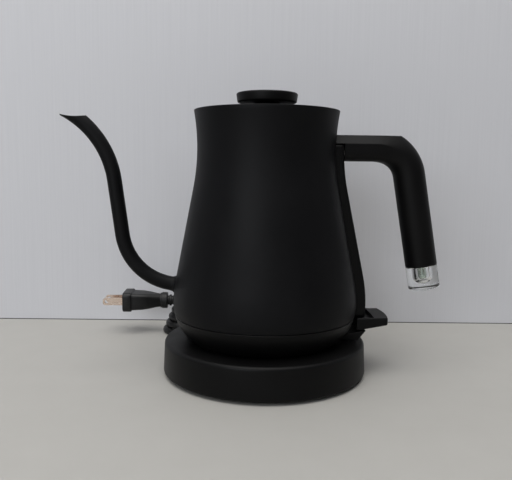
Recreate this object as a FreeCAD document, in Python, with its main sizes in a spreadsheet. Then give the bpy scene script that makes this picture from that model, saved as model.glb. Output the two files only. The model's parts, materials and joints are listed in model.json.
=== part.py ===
"""Electric gooseneck kettle standing on its corded power base.

Millimetres, +Z up. The origin is on the axis of the base, in the plane of the table. The spout points to -X,
the handle to +X, and the mains lead leaves the back of the base and lies tied in a hank behind it.
"""

import FreeCAD
import Part
import Sketcher
import math
import os
from types import SimpleNamespace

from FreeCAD import Placement, Rotation, Vector

# Heights are told from the piece that carries them, and reaches and radii of inner pieces from the edge that
# they follow: stack() and reaches() add them up.
SIZES = {
    "Fits": {
        "fit_clear": 0.08,
        "seat_clear": 0.3,
        "screw_radius": 1.4,
        "screw_head_radius": 2.8,
        "screw_head_height": 1.2,
    },
    "Power base": {
        "base_radius": 71.0,
        "base_height": 24.0,
        "base_lift": 2.0,
        "base_wall": 2.4,
        "base_draft": 0.8,
        "base_edge": 2.6,
        "base_hem": 1.6,
        "seat_radius": 4.1,
        "seat_depth": 0.8,
        "cover_thick": 2.6,
        "cover_sink": 1.5,
        "foot_radius": 9.0,
        "foot_width": 5.6,
        "foot_groove": 0.8,
        "boss_circle": 44.0,
        "boss_radius": 4.2,
        "boss_screw": 10.0,
    },
    "Connector": {
        "turret_radius": 17.0,
        "turret_rise": 7.8,
        "turret_flange": 22.0,
        "turret_flange_thick": 2.5,
        "turret_wall": 2.0,
        "turret_edge": 1.0,
        "turret_floor": 2.5,
        "slot_depth": 11.0,
        "slot_width": 3.0,
        "slot_inner": 2.2,
        "slot_outer": 1.4,
        "pin_bore": 3.6,
        "pin_radius": 2.3,
        "contact_thick": 0.5,
        "contact_angle": 60.0,
        "ring_thick": 1.0,
        "connector_gap": 0.8,
        "connector_radius": 2.0,
        "connector_skirt": 2.2,
        "connector_screw_circle": 2.2,
        "connector_screw_head": 1.7,
        "disc_radius": 6.0,
        "disc_circle": 13.0,
        "disc_thick": 0.6,
    },
    "Vessel": {
        "belly_radius": 64.1,
        "belly_height": 25.8,
        "belly_arc": 88.5,
        "waist_radius": 47.6,
        "waist_height": 108.0,
        "waist_arc": 142.0,
        "bowl_arc": 30.0,
        "rim_height": 25.0,
        "shell_wall": 0.9,
        "seam_height": 18.8,
        "seam_gap": 0.5,
    },
    "Heater": {
        "plate_height": 5.0,
        "plate_thick": 0.8,
        "plate_skirt": 4.0,
        "spreader_radius": 0.6,
        "spreader_thick": 2.8,
        "element_share": 0.5,
        "element_radius": 3.2,
        "element_angle": 310.0,
        "terminal_radius": 1.6,
        "terminal_length": 5.0,
    },
    "Bottom housing": {
        "housing_wall": 2.2,
        "foot_ring_width": 4.0,
        "housing_step": 2.2,
        "housing_floor": 2.0,
        "spigot_inset": 1.8,
        "spigot_wall": 1.6,
        "spigot_rise": 2.6,
        "post_circle": 6.9,
        "post_radius": 2.9,
        "post_screw": 9.0,
    },
    "Switch": {
        "lever_half": 16.1,
        "lever_top": 0.8,
        "lever_tip": 22.3,
        "lever_tip_arc": 70.0,
        "lever_tip_thick": 4.8,
        "lever_slope_angle": 10.0,
        "lever_inner": 0.6,
        "lever_wall": 1.6,
        "lever_pocket": 11.4,
        "lever_pocket_depth": 3.0,
        "stem_half": 8.5,
        "stem_thick": 4.0,
        "stem_end": 2.5,
        "pivot_reach": 8.1,
        "pivot_radius": 1.5,
        "lug_thick": 2.5,
        "lug_gap": 0.5,
        "lug_round": 3.2,
        "fairing_half": 15.4,
        "fairing_root": 0.4,
        "fairing_reach": 5.7,
        "fairing_gap": 1.2,
        "fairing_rake_angle": 40.0,
        "switch_box_length": 9.0,
        "switch_box_half": 7.5,
        "switch_box_height": 4.8,
        "rod_reach": 6.1,
        "rod_radius": 1.2,
        "rod_sink": 2.6,
    },
    "Spout": {
        "spout_radius": 5.0,
        "spout_wall": 0.8,
        "spout_out": 2.2,
        "spout_height": 13.4,
        "spout_root": 12.0,
        "spout_root_angle": 9.5,
        "spout_low_arc": 40.0,
        "spout_lean_angle": 82.5,
        "spout_straight": 37.7,
        "spout_high_arc": 63.0,
        "spout_end_angle": 27.3,
        "spout_lip_angle": 36.0,
        "spout_lip_arc": 35.5,
    },
    "Handle": {
        "spine_half": 11.0,
        "spine_out_low": 6.1,
        "spine_out_top": 4.8,
        "spine_root": 5.5,
        "spine_foot": 1.4,
        "spine_wall": 2.2,
        "spine_edge": 2.6,
        "spine_head_room": 3.0,
        "arm_joint": 8.4,
        "arm_top": 6.0,
        "arm_bottom": 11.7,
        "arm_corner": 6.0,
        "arm_shoulder": 8.25,
        "grip_radius": 11.0,
        "grip_bend": 25.4,
        "grip_bend_out": 18.9,
        "grip_bend_height": 3.3,
        "grip_lean_angle": 10.0,
        "grip_length": 64.2,
        "grip_bore": 4.0,
        "handle_screw_aside": 0.3,
        "handle_screw_drop": 6.3,
        "handle_screw": 14.0,
        "handle_screw_head": 2.5,
        "stud_radius": 2.5,
        "stud_low": 26.0,
        "stud_high": 69.0,
    },
    "Lamp": {
        "lens_length": 16.6,
        "lens_edge": 1.6,
        "lens_bore": 4.6,
        "lens_depth": 12.6,
        "holder_radius": 8.0,
        "holder_depth": 7.0,
        "lamp_radius": 3.0,
        "lamp_length": 10.0,
        "lamp_glass": 0.6,
        "electrode_radius": 0.6,
        "electrode_length": 6.5,
        "electrode_gap": 2.4,
        "lead_radius": 1.5,
    },
    "Lid": {
        "lid_drop": 1.6,
        "lid_thick": 2.4,
        "lid_side_clear": 0.4,
        "skirt_inset": 3.4,
        "skirt_depth": 9.0,
        "skirt_wall": 1.2,
        "gasket_height": 3.0,
        "gasket_drop": 3.0,
        "knob_radius": 21.0,
        "knob_foot_radius": 20.4,
        "knob_top": 13.6,
        "knob_thick": 6.6,
        "knob_edge": 1.3,
        "knob_neck": 9.0,
        "knob_screw_length": 9.0,
        "knob_screw_head": 4.2,
    },
    "Lead": {
        "cord_radius": 2.75,
        "cord_angle": 45.0,
        "gland_height": 0.4,
        "gland_flange": 6.0,
        "gland_neck": 4.4,
        "gland_root": 5.2,
        "gland_end": 3.6,
        "gland_length": 17.0,
        "gland_ribs": 4,
        "hank_left": -83.0,
        "hank_behind": 103.0,
        "hank_fold": 16.5,
        "hank_run": 85.2,
        "hank_waist": 3.3,
        "hank_step": 5.75,
        "hank_setback": 2.4,
        "hank_layers": 4,
        "tie_lift": 1.0,
        "tie_thick": 0.8,
        "tie_width": 7.0,
        "plug_face": -116.5,
        "plug_height": 0.35,
        "plug_flange_half": 9.7,
        "plug_flange_long": 7.5,
        "plug_half_wide": 13.0,
        "plug_step": 1.5,
        "plug_belly": 8.75,
        "plug_taper": 0.45,
        "plug_neck_half": 5.6,
        "plug_body_long": 25.0,
        "plug_collar_radius": 7.0,
        "plug_collar_long": 5.0,
        "relief_radius": 4.9,
        "relief_end_radius": 3.7,
        "relief_length": 27.0,
        "relief_ribs": 8,
        "relief_groove": 0.9,
        "blade_length": 17.5,
        "blade_width": 6.3,
        "blade_thick": 1.5,
        "blade_gap": 12.7,
        "blade_hole": 1.6,
    },
}

# The free stretch of the lead after the gland, on the table, up to the hank (x, y, z).
LEAD_POINTS = [
    (76.6, 76.6, 11.0),
    (82.0, 91.6, 8.2),
    (79.3, 107.2, 5.4),
    (68.9, 119.8, 3.4),
    (53.2, 126.4, 2.75),
    (24.0, 127.4, 2.75),
    (-4.0, 124.5, 2.75),
    (-34.0, 119.5, 2.75),
]

HALF_TURN = 180

# Angles round the grip's circle that answer to the corners of the arm's shouldered section.
SECTION_ANGLES = [-116, -64, -30, 0, 74, 106, 180, 210]

# Sections in the handle's bend, and the share of the bend where the arm's section starts and ends its change.
BEND_SECTIONS = 8
BLEND_START = 0.08
BLEND_END = 0.8

# Share of a run of the lead that the bend at its end may take.
BEND_SHARE = 0.45

# Share of a plug section's smaller half side that its rounded corners take.
PLUG_CORNER_SHARE = 0.45


class Size:
    """A length that knows its number and the sheet expression that it comes from."""

    def __init__(self, value, text):
        self.value = value
        self.text = text

    def __add__(self, other):
        other = sized(other)
        return Size(self.value + other.value, f"({self.text} + {other.text})")

    def __sub__(self, other):
        other = sized(other)
        return Size(self.value - other.value, f"({self.text} - {other.text})")

    def __mul__(self, other):
        other = sized(other)
        return Size(self.value * other.value, f"({self.text} * {other.text})")

    def __truediv__(self, other):
        other = sized(other)
        return Size(self.value / other.value, f"({self.text} / {other.text})")

    def __neg__(self):
        return Size(-self.value, f"(0 - {self.text})")


def sized(item):
    if isinstance(item, Size):
        return item
    return Size(float(item), f"({float(item):.9f})")


def root(item):
    return Size(math.sqrt(item.value), f"sqrt({item.text})")


def sine(angle):
    return Size(math.sin(math.radians(angle.value)), f"sin({angle.text} * 1 deg)")


def cosine(angle):
    return Size(math.cos(math.radians(angle.value)), f"cos({angle.text} * 1 deg)")


def fill_sheet():
    """One row for each size: its group, its name and its number."""
    row = 1
    for group, sizes in SIZES.items():
        for name, number in sizes.items():
            sheet.set(f"A{row}", group)
            sheet.set(f"B{row}", name)
            sheet.set(f"C{row}", str(number))
            sheet.setAlias(f"C{row}", name)
            row += 1
    doc.recompute()
    names = [name for sizes in SIZES.values() for name in sizes]
    return SimpleNamespace(**{name: Size(float(sheet.get(name)), f"Sizes.{name}") for name in names})


def bind(thing, field, size):
    size = sized(size)
    setattr(thing, field, size.value)
    thing.setExpression(field, size.text)


def place(thing, at, turn=None):
    """Put a piece at three sizes, turned by a rotation."""
    spot = [sized(item) for item in at]
    thing.Placement = Placement(Vector(*[item.value for item in spot]), turn or Rotation())
    for axis, item in zip("xyz", spot):
        thing.setExpression(f"Placement.Base.{axis}", item.text)


def keep(thing, label):
    """A finished sub-part, which gets its file under this name."""
    thing.Label = label
    PIECES.append(thing)
    return thing


def new_body(name):
    return doc.addObject("PartDesign::Body", name)


def new_sketch(body, plane, lift=None):
    sketch = body.newObject("Sketcher::SketchObject", f"{body.Name}_sketch")
    sketch.AttachmentSupport = [(next(f for f in body.Origin.OriginFeatures if f.Role == plane), "")]
    sketch.MapMode = "FlatFace"
    if lift is not None:
        sketch.AttachmentOffset = Placement(Vector(0, 0, sized(lift).value), Rotation())
        sketch.setExpression("AttachmentOffset.Base.z", sized(lift).text)
    return sketch


def arc_between(start, end, radius):
    """The shorter arc from one point to another, counter-clockwise for a plus radius."""
    chord = end - start
    middle = start + chord * 0.5
    left = Vector(-chord.y, chord.x, 0).normalize()
    height = math.sqrt(max(radius * radius - chord.Length ** 2 / 4, 0.0))
    centre = middle + left * math.copysign(height, radius)
    first, last = (start, end) if radius > 0 else (end, start)
    angles = [math.atan2(p.y - centre.y, p.x - centre.x) for p in (first, last)]
    return Part.ArcOfCircle(Part.Circle(centre, Vector(0, 0, 1), abs(radius)), *angles)


def fix_point(sketch, edge, end, across, up):
    """Hold one end of an edge at two sizes from the sketch's origin, or on an axis where a size is 0."""
    for kind, axis, item in (("DistanceX", -2, across), ("DistanceY", -1, up)):
        if isinstance(item, Size):
            rule = sketch.addConstraint(Sketcher.Constraint(kind, -1, 1, edge, end, item.value))
            sketch.setExpression(f"Constraints[{rule}]", item.text)
        else:
            sketch.addConstraint(Sketcher.Constraint("PointOnObject", edge, end, axis))


def draw(sketch, corners, closed=True):
    """Lines and arcs from corner to corner. A third value is the radius of the arc that reaches the corner,
    with a minus where it turns clockwise."""
    spots = [Vector(sized(corner[0]).value, sized(corner[1]).value, 0) for corner in corners]
    edges = []
    for i in range(0 if closed else 1, len(corners)):
        radius = corners[i][2] if len(corners[i]) == 3 else None
        if radius is None:
            edge = sketch.addGeometry(Part.LineSegment(spots[i - 1], spots[i]), False)
        else:
            edge = sketch.addGeometry(arc_between(spots[i - 1], spots[i], radius.value), False)
            rule = sketch.addConstraint(Sketcher.Constraint("Radius", edge, abs(radius.value)))
            sketch.setExpression(f"Constraints[{rule}]", f"abs({radius.text})")
        clockwise = radius is not None and radius.value < 0
        edges.append((edge, 2 if clockwise else 1, 1 if clockwise else 2))
    for i in range(len(edges) if closed else len(edges) - 1):
        edge, _, end = edges[i]
        following, start, _ = edges[(i + 1) % len(edges)]
        sketch.addConstraint(Sketcher.Constraint("Coincident", edge, end, following, start))
    if not closed:
        fix_point(sketch, edges[0][0], edges[0][1], *corners[0][:2])
    for (edge, _, end), corner in zip(edges, corners if closed else corners[1:]):
        fix_point(sketch, edge, end, *corner[:2])


def draw_circle(sketch, across, up, radius):
    spot = Vector(sized(across).value, sized(up).value, 0)
    edge = sketch.addGeometry(Part.Circle(spot, Vector(0, 0, 1), radius.value), False)
    rule = sketch.addConstraint(Sketcher.Constraint("Radius", edge, radius.value))
    sketch.setExpression(f"Constraints[{rule}]", radius.text)
    fix_point(sketch, edge, 3, across, up)


def turned(name, corners):
    """A body turned about the Z axis from a profile of (radius, height) corners."""
    body = new_body(name)
    sketch = new_sketch(body, "XZ_Plane")
    draw(sketch, corners)
    turn = body.newObject("PartDesign::Revolution", f"{name}_turn")
    turn.Profile = sketch
    turn.ReferenceAxis = (sketch, ["V_Axis"])
    turn.Angle = 360
    return body


def padded(name, plane, corners, length, lift=None, both_ways=False):
    """A body padded from an outline on one of the main planes."""
    body = new_body(name)
    sketch = new_sketch(body, plane, lift)
    draw(sketch, corners)
    pad = body.newObject("PartDesign::Pad", f"{name}_pad")
    pad.Profile = sketch
    if both_ways:
        pad.SideType = "Symmetric"
    bind(pad, "Length", length)
    return body


def ring_feature(body, kind, circle, radius, length, lift, reverse=False, count=3):
    """A round pad or pocket on a circle about the axis, repeated evenly round it."""
    sketch = new_sketch(body, "XY_Plane", lift)
    draw_circle(sketch, -circle, 0, radius)
    feature = body.newObject(kind, f"{body.Name}_ring")
    feature.Profile = sketch
    feature.Reversed = reverse
    bind(feature, "Length", length)
    pattern = body.newObject("PartDesign::PolarPattern", f"{body.Name}_pattern")
    pattern.Originals = [feature]
    pattern.Axis = (sketch, ["N_Axis"])
    pattern.Angle = 360
    pattern.Occurrences = count
    body.Tip = pattern


def ring_of_bosses(body, circle, radius, length, lift):
    ring_feature(body, "PartDesign::Pad", circle, radius, length, lift)


def ring_of_holes(body, circle, radius, length, lift, upward=True):
    ring_feature(body, "PartDesign::Pocket", circle, radius, length, lift, upward)


def cylinder(name, radius, length, at, along="Z", sweep=None):
    rod = doc.addObject("Part::Cylinder", name)
    bind(rod, "Radius", radius)
    bind(rod, "Height", length)
    if sweep is not None:
        rod.Angle = sweep.value
        rod.setExpression("Angle", sweep.text)
    place(rod, at, TURN_TO[along])
    return rod


def box(name, long, wide, high, at):
    block = doc.addObject("Part::Box", name)
    bind(block, "Length", long)
    bind(block, "Width", wide)
    bind(block, "Height", high)
    place(block, at)
    return block


def fused(name, *things):
    union = doc.addObject("Part::MultiFuse", name)
    union.Shapes = list(things)
    union.Refine = True
    return union


def less(name, base, *tools):
    """The base with the tools cut out of it."""
    result = doc.addObject("Part::Cut", name)
    result.Base = base
    result.Tool = tools[0] if len(tools) == 1 else fused(f"{name}_tools", *tools)
    result.Refine = True
    return result


def overlap(name, first, second):
    result = doc.addObject("Part::Common", name)
    result.Base = first
    result.Tool = second
    return result


def group(name, members):
    """Separate solids that share one node, such as a set of screws."""
    compound = doc.addObject("Part::Compound", name)
    compound.Links = list(members)
    return compound


def solid_feature(name, shape):
    feature = doc.addObject("Part::Feature", name)
    feature.Shape = shape
    return feature


def round_edges(body, radius, wanted):
    """Round the edges of a body's last feature that the test picks."""
    doc.recompute()
    base = body.Tip
    names = [f"Edge{i + 1}" for i, edge in enumerate(base.Shape.Edges) if wanted(edge)]
    fillet = body.newObject("PartDesign::Fillet", f"{body.Name}_round")
    fillet.Base = (base, names)
    bind(fillet, "Radius", radius)


def around(circle, count, start):
    """Points spaced evenly on a circle about the axis."""
    angles = [math.radians(start + 360 * i / count) for i in range(count)]
    return [(circle * math.cos(a), circle * math.sin(a)) for a in angles]


def screw(name, at, along, shank, head_radius, head_height, length):
    """A plain-headed screw whose head's seat is at the point and whose shank runs along the axis."""
    at = [sized(item) for item in at]
    head_at = {
        "Z": (at[0], at[1], at[2] - head_height),
        "X": (at[0] - head_height, at[1], at[2]),
    }[along]
    head = cylinder(f"{name}_head", head_radius, head_height, head_at, along)
    return fused(name, head, cylinder(f"{name}_shank", shank, length, at, along))


# Heights and radii that several pieces share.


def stack():
    """Heights that several pieces share, from the table up, each told from the piece that carries it."""
    heights = SimpleNamespace()
    heights.cover_top = S.base_lift + S.cover_thick
    heights.gland = heights.cover_top + S.gland_flange + S.gland_height
    heights.plug = S.cord_radius * 2 + S.hank_step * (S.hank_layers - 1) + S.relief_radius + S.plug_height
    heights.seat = S.base_height - S.seat_depth
    heights.roof = heights.seat - S.base_wall
    heights.turret_top = heights.seat + S.turret_rise
    heights.connector = heights.turret_top + S.connector_gap
    heights.floor_under = heights.seat + S.housing_step
    heights.floor_top = heights.floor_under + S.housing_floor
    heights.seam = heights.seat + S.seam_height
    heights.housing_top = heights.seam - S.seam_gap
    heights.plate = heights.seam + S.plate_height
    heights.plate_under = heights.plate - S.plate_thick
    heights.spreader_under = heights.plate_under - S.spreader_thick
    heights.lever = heights.seam - S.lever_top
    heights.spine_foot = heights.lever - S.spine_foot
    heights.belly = heights.seat + S.belly_height
    heights.spout = heights.belly + S.spout_height
    heights.stud_low = heights.belly + S.stud_low
    heights.stud_high = heights.belly + S.stud_high
    heights.waist = heights.belly + S.waist_height
    heights.arm = heights.waist + S.grip_bend_height
    heights.arm_top = heights.arm + S.arm_top
    heights.arm_bottom = heights.arm - S.arm_bottom
    heights.handle_screw = heights.arm - S.handle_screw_drop
    heights.bend = heights.arm - S.grip_bend
    heights.rim = heights.waist + S.rim_height
    heights.lid_top = heights.rim - S.lid_drop
    heights.lid_under = heights.lid_top - S.lid_thick
    heights.knob_top = heights.lid_top + S.knob_top
    heights.knob_under = heights.knob_top - S.knob_thick
    return heights


def reaches():
    """Distances from the axis that several pieces share, each told from the edge that it follows."""
    out = SimpleNamespace()
    out.foot_ring = S.base_radius - S.foot_radius
    out.kettle_foot = bowl_x(H.seat, sized(0))
    out.seat = out.kettle_foot + S.seat_radius
    out.posts = out.kettle_foot - S.post_circle
    out.slot_outer = S.turret_radius - S.turret_edge - S.slot_outer - S.slot_width
    out.slot_inner = out.slot_outer - S.slot_inner - S.slot_width
    out.connector_screws = S.turret_radius + S.seat_clear * 2 + S.connector_skirt + S.connector_screw_circle
    out.connector = out.connector_screws + S.connector_radius
    out.spreader = out.posts - S.post_radius - S.spreader_radius
    out.element = out.connector + (out.posts - S.post_radius - out.connector) * S.element_share
    out.pivot = S.belly_radius - S.pivot_reach
    out.rod = bowl_x(H.floor_top, S.housing_wall) - S.rod_reach
    out.stem_end = out.rod - S.stem_end
    out.lever_inner = S.belly_radius + S.lever_inner
    out.lever_pocket = S.belly_radius + S.lever_pocket
    out.lever_tip = S.belly_radius + S.lever_tip
    out.fairing = S.belly_radius + S.fairing_reach
    out.fairing_root = out.rod + S.switch_box_length / 2 + S.fairing_root
    out.spout = S.belly_radius + S.spout_out
    out.arm_joint = S.waist_radius + S.arm_joint
    out.bend = out.arm_joint + S.grip_bend_out
    out.handle_screw = S.spine_half - S.spine_wall - S.handle_screw_head - S.handle_screw_aside
    return out


def bowl_x(height, inset):
    """Radius of the bowl below the belly at a height, set in by a wall."""
    drop = H.belly - height
    arc = S.bowl_arc - inset
    return S.belly_radius - S.bowl_arc + root(arc * arc - drop * drop)


def waist_x(height, inset):
    """Radius of the waist arc at a height, set in by a wall."""
    rise = sized(height) - H.waist
    arc = S.waist_arc + inset
    return S.waist_radius + S.waist_arc - root(arc * arc - rise * rise)


def flank(out_low, out_top):
    """Ends of the straight flank that is tangent to the belly and the waist, both set out from the shell."""
    belly_x = S.belly_radius - S.belly_arc
    waist_centre = S.waist_radius + S.waist_arc
    belly = S.belly_arc + out_low
    waist = S.waist_arc - out_top
    across = waist_centre - belly_x
    rise = H.waist - H.belly
    span = across * across + rise * rise
    reach = belly + waist
    along = root(span - reach * reach)
    out_x = (reach * across + along * rise) / span
    out_z = (reach * rise - along * across) / span
    low = (belly_x + belly * out_x, H.belly + belly * out_z)
    high = (waist_centre - waist * out_x, H.waist - waist * out_z)
    return low, high


def vessel_form():
    """The kettle's outer form as one solid, used to fit pieces against the shell."""
    low, high = flank(sized(0), sized(0))
    return turned("vessel_form", [
        (0, H.seat),
        (bowl_x(H.seat, sized(0)), H.seat),
        (S.belly_radius, H.belly, S.bowl_arc),
        (*low, S.belly_arc),
        high,
        (waist_x(H.rim, sized(0)), H.rim, -S.waist_arc),
        (0, H.rim),
    ])


# Power base.


def base_housing():
    slope_end = S.base_radius - S.base_draft
    body = turned("base_housing", [
        (S.base_radius - S.base_wall, S.base_lift),
        (S.base_radius - S.base_hem, S.base_lift),
        (S.base_radius, S.base_lift + S.base_hem, S.base_hem),
        (slope_end, S.base_height - S.base_edge),
        (slope_end - S.base_edge, S.base_height, S.base_edge),
        (R.seat + S.seat_depth, S.base_height),
        (R.seat, H.seat),
        (S.turret_radius + S.seat_clear, H.seat),
        (S.turret_radius + S.seat_clear, H.roof),
        (slope_end - S.base_wall, H.roof),
    ])
    ring_of_bosses(body, S.boss_circle, S.boss_radius, H.roof - H.cover_top + S.base_wall / 2, H.cover_top)
    ring_of_holes(body, S.boss_circle, S.screw_radius + S.fit_clear, S.boss_screw, H.cover_top)
    hole = new_sketch(body, "YZ_Plane")
    draw_circle(hole, 0, H.gland, S.gland_neck + S.fit_clear)
    pocket = body.newObject("PartDesign::Pocket", "gland_hole")
    pocket.Profile = hole
    pocket.Type = "ThroughAll"
    pocket.Reversed = True
    place(body, (0, 0, 0), BASE_TURN)
    keep(body, "base_housing")


def base_cover():
    edge = S.base_radius - S.base_wall - S.seat_clear
    foot_in = R.foot_ring - S.foot_width / 2
    foot_out = R.foot_ring + S.foot_width / 2
    body = turned("base_cover", [
        (0, S.base_lift),
        (foot_in, S.base_lift),
        (foot_in, S.base_lift + S.foot_groove),
        (foot_out, S.base_lift + S.foot_groove),
        (foot_out, S.base_lift),
        (edge, S.base_lift),
        (edge, H.cover_top),
        (0, H.cover_top),
    ])
    ring_of_holes(body, S.boss_circle, S.screw_radius + S.fit_clear, S.cover_thick, S.base_lift)
    ring_of_holes(body, S.boss_circle, S.screw_head_radius + S.seat_clear, S.cover_sink, S.base_lift)
    place(body, (0, 0, 0), BASE_TURN)
    keep(body, "base_cover")
    inner = foot_in + S.fit_clear
    outer = foot_out - S.fit_clear
    foot = turned("base_foot_ring", [
        (inner, 0),
        (outer, 0),
        (outer, S.base_lift + S.foot_groove),
        (inner, S.base_lift + S.foot_groove),
    ])
    keep(foot, "base_foot_ring")
    spots = around(S.boss_circle, 3, HALF_TURN + S.cord_angle.value)
    length = S.boss_screw + S.cover_thick - S.cover_sink - S.seat_clear
    screws = [
        screw(f"base_screw_{i}", (x, y, S.base_lift + S.cover_sink), "Z", S.screw_radius,
              S.screw_head_radius, S.screw_head_height, length)
        for i, (x, y) in enumerate(spots)
    ]
    keep(group("base_screws", screws), "base_screws")


def base_turret():
    slot_floor = H.turret_top - S.slot_depth
    bore_floor = slot_floor - S.turret_wall
    inner = S.turret_radius - S.turret_wall
    flange_under = H.roof - S.turret_flange_thick
    body = turned("connector_turret", [
        (inner, H.cover_top),
        (S.turret_radius, H.cover_top),
        (S.turret_radius, flange_under),
        (S.turret_flange, flange_under),
        (S.turret_flange, H.roof),
        (S.turret_radius, H.roof),
        (S.turret_radius, H.turret_top - S.turret_edge),
        (S.turret_radius - S.turret_edge, H.turret_top, S.turret_edge),
        (R.slot_outer + S.slot_width, H.turret_top),
        (R.slot_outer + S.slot_width, slot_floor),
        (R.slot_outer, slot_floor),
        (R.slot_outer, H.turret_top),
        (R.slot_inner + S.slot_width, H.turret_top),
        (R.slot_inner + S.slot_width, slot_floor),
        (R.slot_inner, slot_floor),
        (R.slot_inner, H.turret_top),
        (S.pin_bore, H.turret_top),
        (S.pin_bore, bore_floor),
        (0, bore_floor),
        (0, bore_floor - S.turret_floor),
        (inner, bore_floor - S.turret_floor),
    ])
    keep(body, "connector_turret")
    sleeve = contact("pin_contact", S.pin_bore - S.fit_clear - S.contact_thick, bore_floor, sized(360))
    leaves = [
        contact(f"ring_contact_{i}", slot + S.fit_clear, slot_floor, S.contact_angle)
        for i, slot in enumerate((R.slot_inner, R.slot_outer))
    ]
    keep(group("turret_contacts", [sleeve, *leaves]), "turret_contacts")


def contact(name, radius, floor, sweep):
    """A brass spring contact: a curved leaf standing on the floor of its slot."""
    high = H.turret_top - S.turret_wall - floor
    return less(name,
                cylinder(f"{name}_outside", radius + S.contact_thick, high, (0, 0, floor), "Z", sweep),
                cylinder(f"{name}_inside", radius, high, (0, 0, floor)))


# Kettle: vessel and spout.


def body_shell(bore):
    wall = S.shell_wall
    low, high = flank(sized(0), sized(0))
    low_in, high_in = flank(-wall, -wall)
    shell = turned("shell_wall", [
        (bowl_x(H.seam, sized(0)), H.seam),
        (S.belly_radius, H.belly, S.bowl_arc),
        (*low, S.belly_arc),
        high,
        (waist_x(H.rim, sized(0)), H.rim, -S.waist_arc),
        (waist_x(H.rim, wall), H.rim),
        (*high_in, S.waist_arc + wall),
        low_in,
        (S.belly_radius - wall, H.belly, wall - S.belly_arc),
        (bowl_x(H.seam, wall), H.seam, wall - S.bowl_arc),
    ])
    keep(less("body_shell", shell, bore), "body_shell")


def spout_path():
    """Corners of the gooseneck's centreline, in (x, z), from inside the shell to the tip."""
    rise, lean, end = S.spout_root_angle, S.spout_lean_angle, S.spout_end_angle
    x1, z1 = -R.spout, H.spout
    x0, z0 = x1 + S.spout_root * cosine(rise), z1 - S.spout_root * sine(rise)
    low = S.spout_low_arc
    x2, z2 = x1 - low * (sine(lean) - sine(rise)), z1 + low * (cosine(rise) - cosine(lean))
    x3, z3 = x2 - S.spout_straight * cosine(lean), z2 + S.spout_straight * sine(lean)
    x4, z4 = on_high_arc(x3, z3, end)
    return [(x0, z0), (x1, z1), (x2, z2, -low), (x3, z3), (x4, z4, S.spout_high_arc)]


def on_high_arc(x, z, angle):
    """The point of the gooseneck's upper arc, begun at (x, z), where the path rises at an angle."""
    lean = S.spout_lean_angle
    high = S.spout_high_arc
    return x - high * (sine(lean) - sine(angle)), z + high * (cosine(angle) - cosine(lean))


def spout_tube(name, radius, wall=None):
    body = new_body(name)
    path = new_sketch(body, "XZ_Plane")
    draw(path, spout_path(), closed=False)
    doc.recompute()
    ring = body.newObject("Sketcher::SketchObject", f"{name}_ring")
    ring.AttachmentSupport = [(path, "Edge1")]
    ring.MapMode = "NormalToEdge"
    draw_circle(ring, 0, 0, radius)
    if wall is not None:
        draw_circle(ring, 0, 0, radius - wall)
    pipe = body.newObject("PartDesign::AdditivePipe", f"{name}_pipe")
    pipe.Profile = ring
    pipe.Spine = (path, ["Edge1", "Edge2", "Edge3", "Edge4"])
    return body


def spout(form):
    tube = spout_tube("spout_tube", S.spout_radius, S.spout_wall)
    lip_x, lip_z = on_high_arc(*spout_path()[3], S.spout_lip_angle)
    hollow = cylinder("lip_hollow", S.spout_lip_arc, S.spout_radius * 4,
                      (lip_x, S.spout_radius * -2, lip_z + S.spout_lip_arc), "Y")
    keep(less("spout", tube, hollow, form), "spout")


def spout_bore():
    """Straight rod along the spout's root, which opens the shell into it."""
    (x0, z0), (x1, z1) = spout_path()[:2]
    rod = cylinder("spout_bore", S.spout_radius - S.spout_wall, S.spout_root, (x0, 0, z0))
    rod.Placement.Rotation = Rotation(Vector(0, 0, 1), Vector((x1 - x0).value, 0, (z1 - z0).value))
    return rod


# Kettle: heater and bottom housing.


def heater():
    skirt_foot = H.plate - S.plate_skirt
    edge = bowl_x(skirt_foot, S.shell_wall) - S.fit_clear
    plate = turned("heater_plate", [
        (edge - S.plate_thick, skirt_foot),
        (edge, skirt_foot),
        (edge, H.plate),
        (0, H.plate),
        (0, H.plate_under),
        (edge - S.plate_thick, H.plate_under),
    ])
    keep(plate, "heater_plate")
    disc = turned("heat_spreader", [
        (0, H.spreader_under),
        (R.spreader, H.spreader_under),
        (R.spreader, H.plate_under),
        (0, H.plate_under),
    ])
    ring_of_holes(disc, R.connector_screws, S.screw_radius, S.spreader_thick, H.spreader_under)
    keep(disc, "heat_spreader")
    tube_z = H.spreader_under - S.element_radius - S.fit_clear
    tube = doc.addObject("Part::Torus", "heating_element")
    bind(tube, "Radius1", R.element)
    bind(tube, "Radius2", S.element_radius)
    tube.Angle3 = S.element_angle.value
    tube.setExpression("Angle3", S.element_angle.text)
    half_gap = HALF_TURN - S.element_angle.value / 2
    gap_turn = Rotation(Vector(0, 0, 1), HALF_TURN + half_gap)
    place(tube, (0, 0, tube_z), gap_turn)
    keep(tube, "heating_element")
    tail = half_gap + math.degrees(S.terminal_radius.value * 2 / R.element.value)
    pins = []
    for side in (-1, 1):
        angle = math.radians(HALF_TURN + side * tail)
        spot = (R.element * math.cos(angle), R.element * math.sin(angle))
        foot = tube_z - S.element_radius - S.fit_clear - S.terminal_length
        pins.append(cylinder("terminal", S.terminal_radius, S.terminal_length, (*spot, foot)))
    keep(group("element_terminals", pins), "element_terminals")


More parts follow.
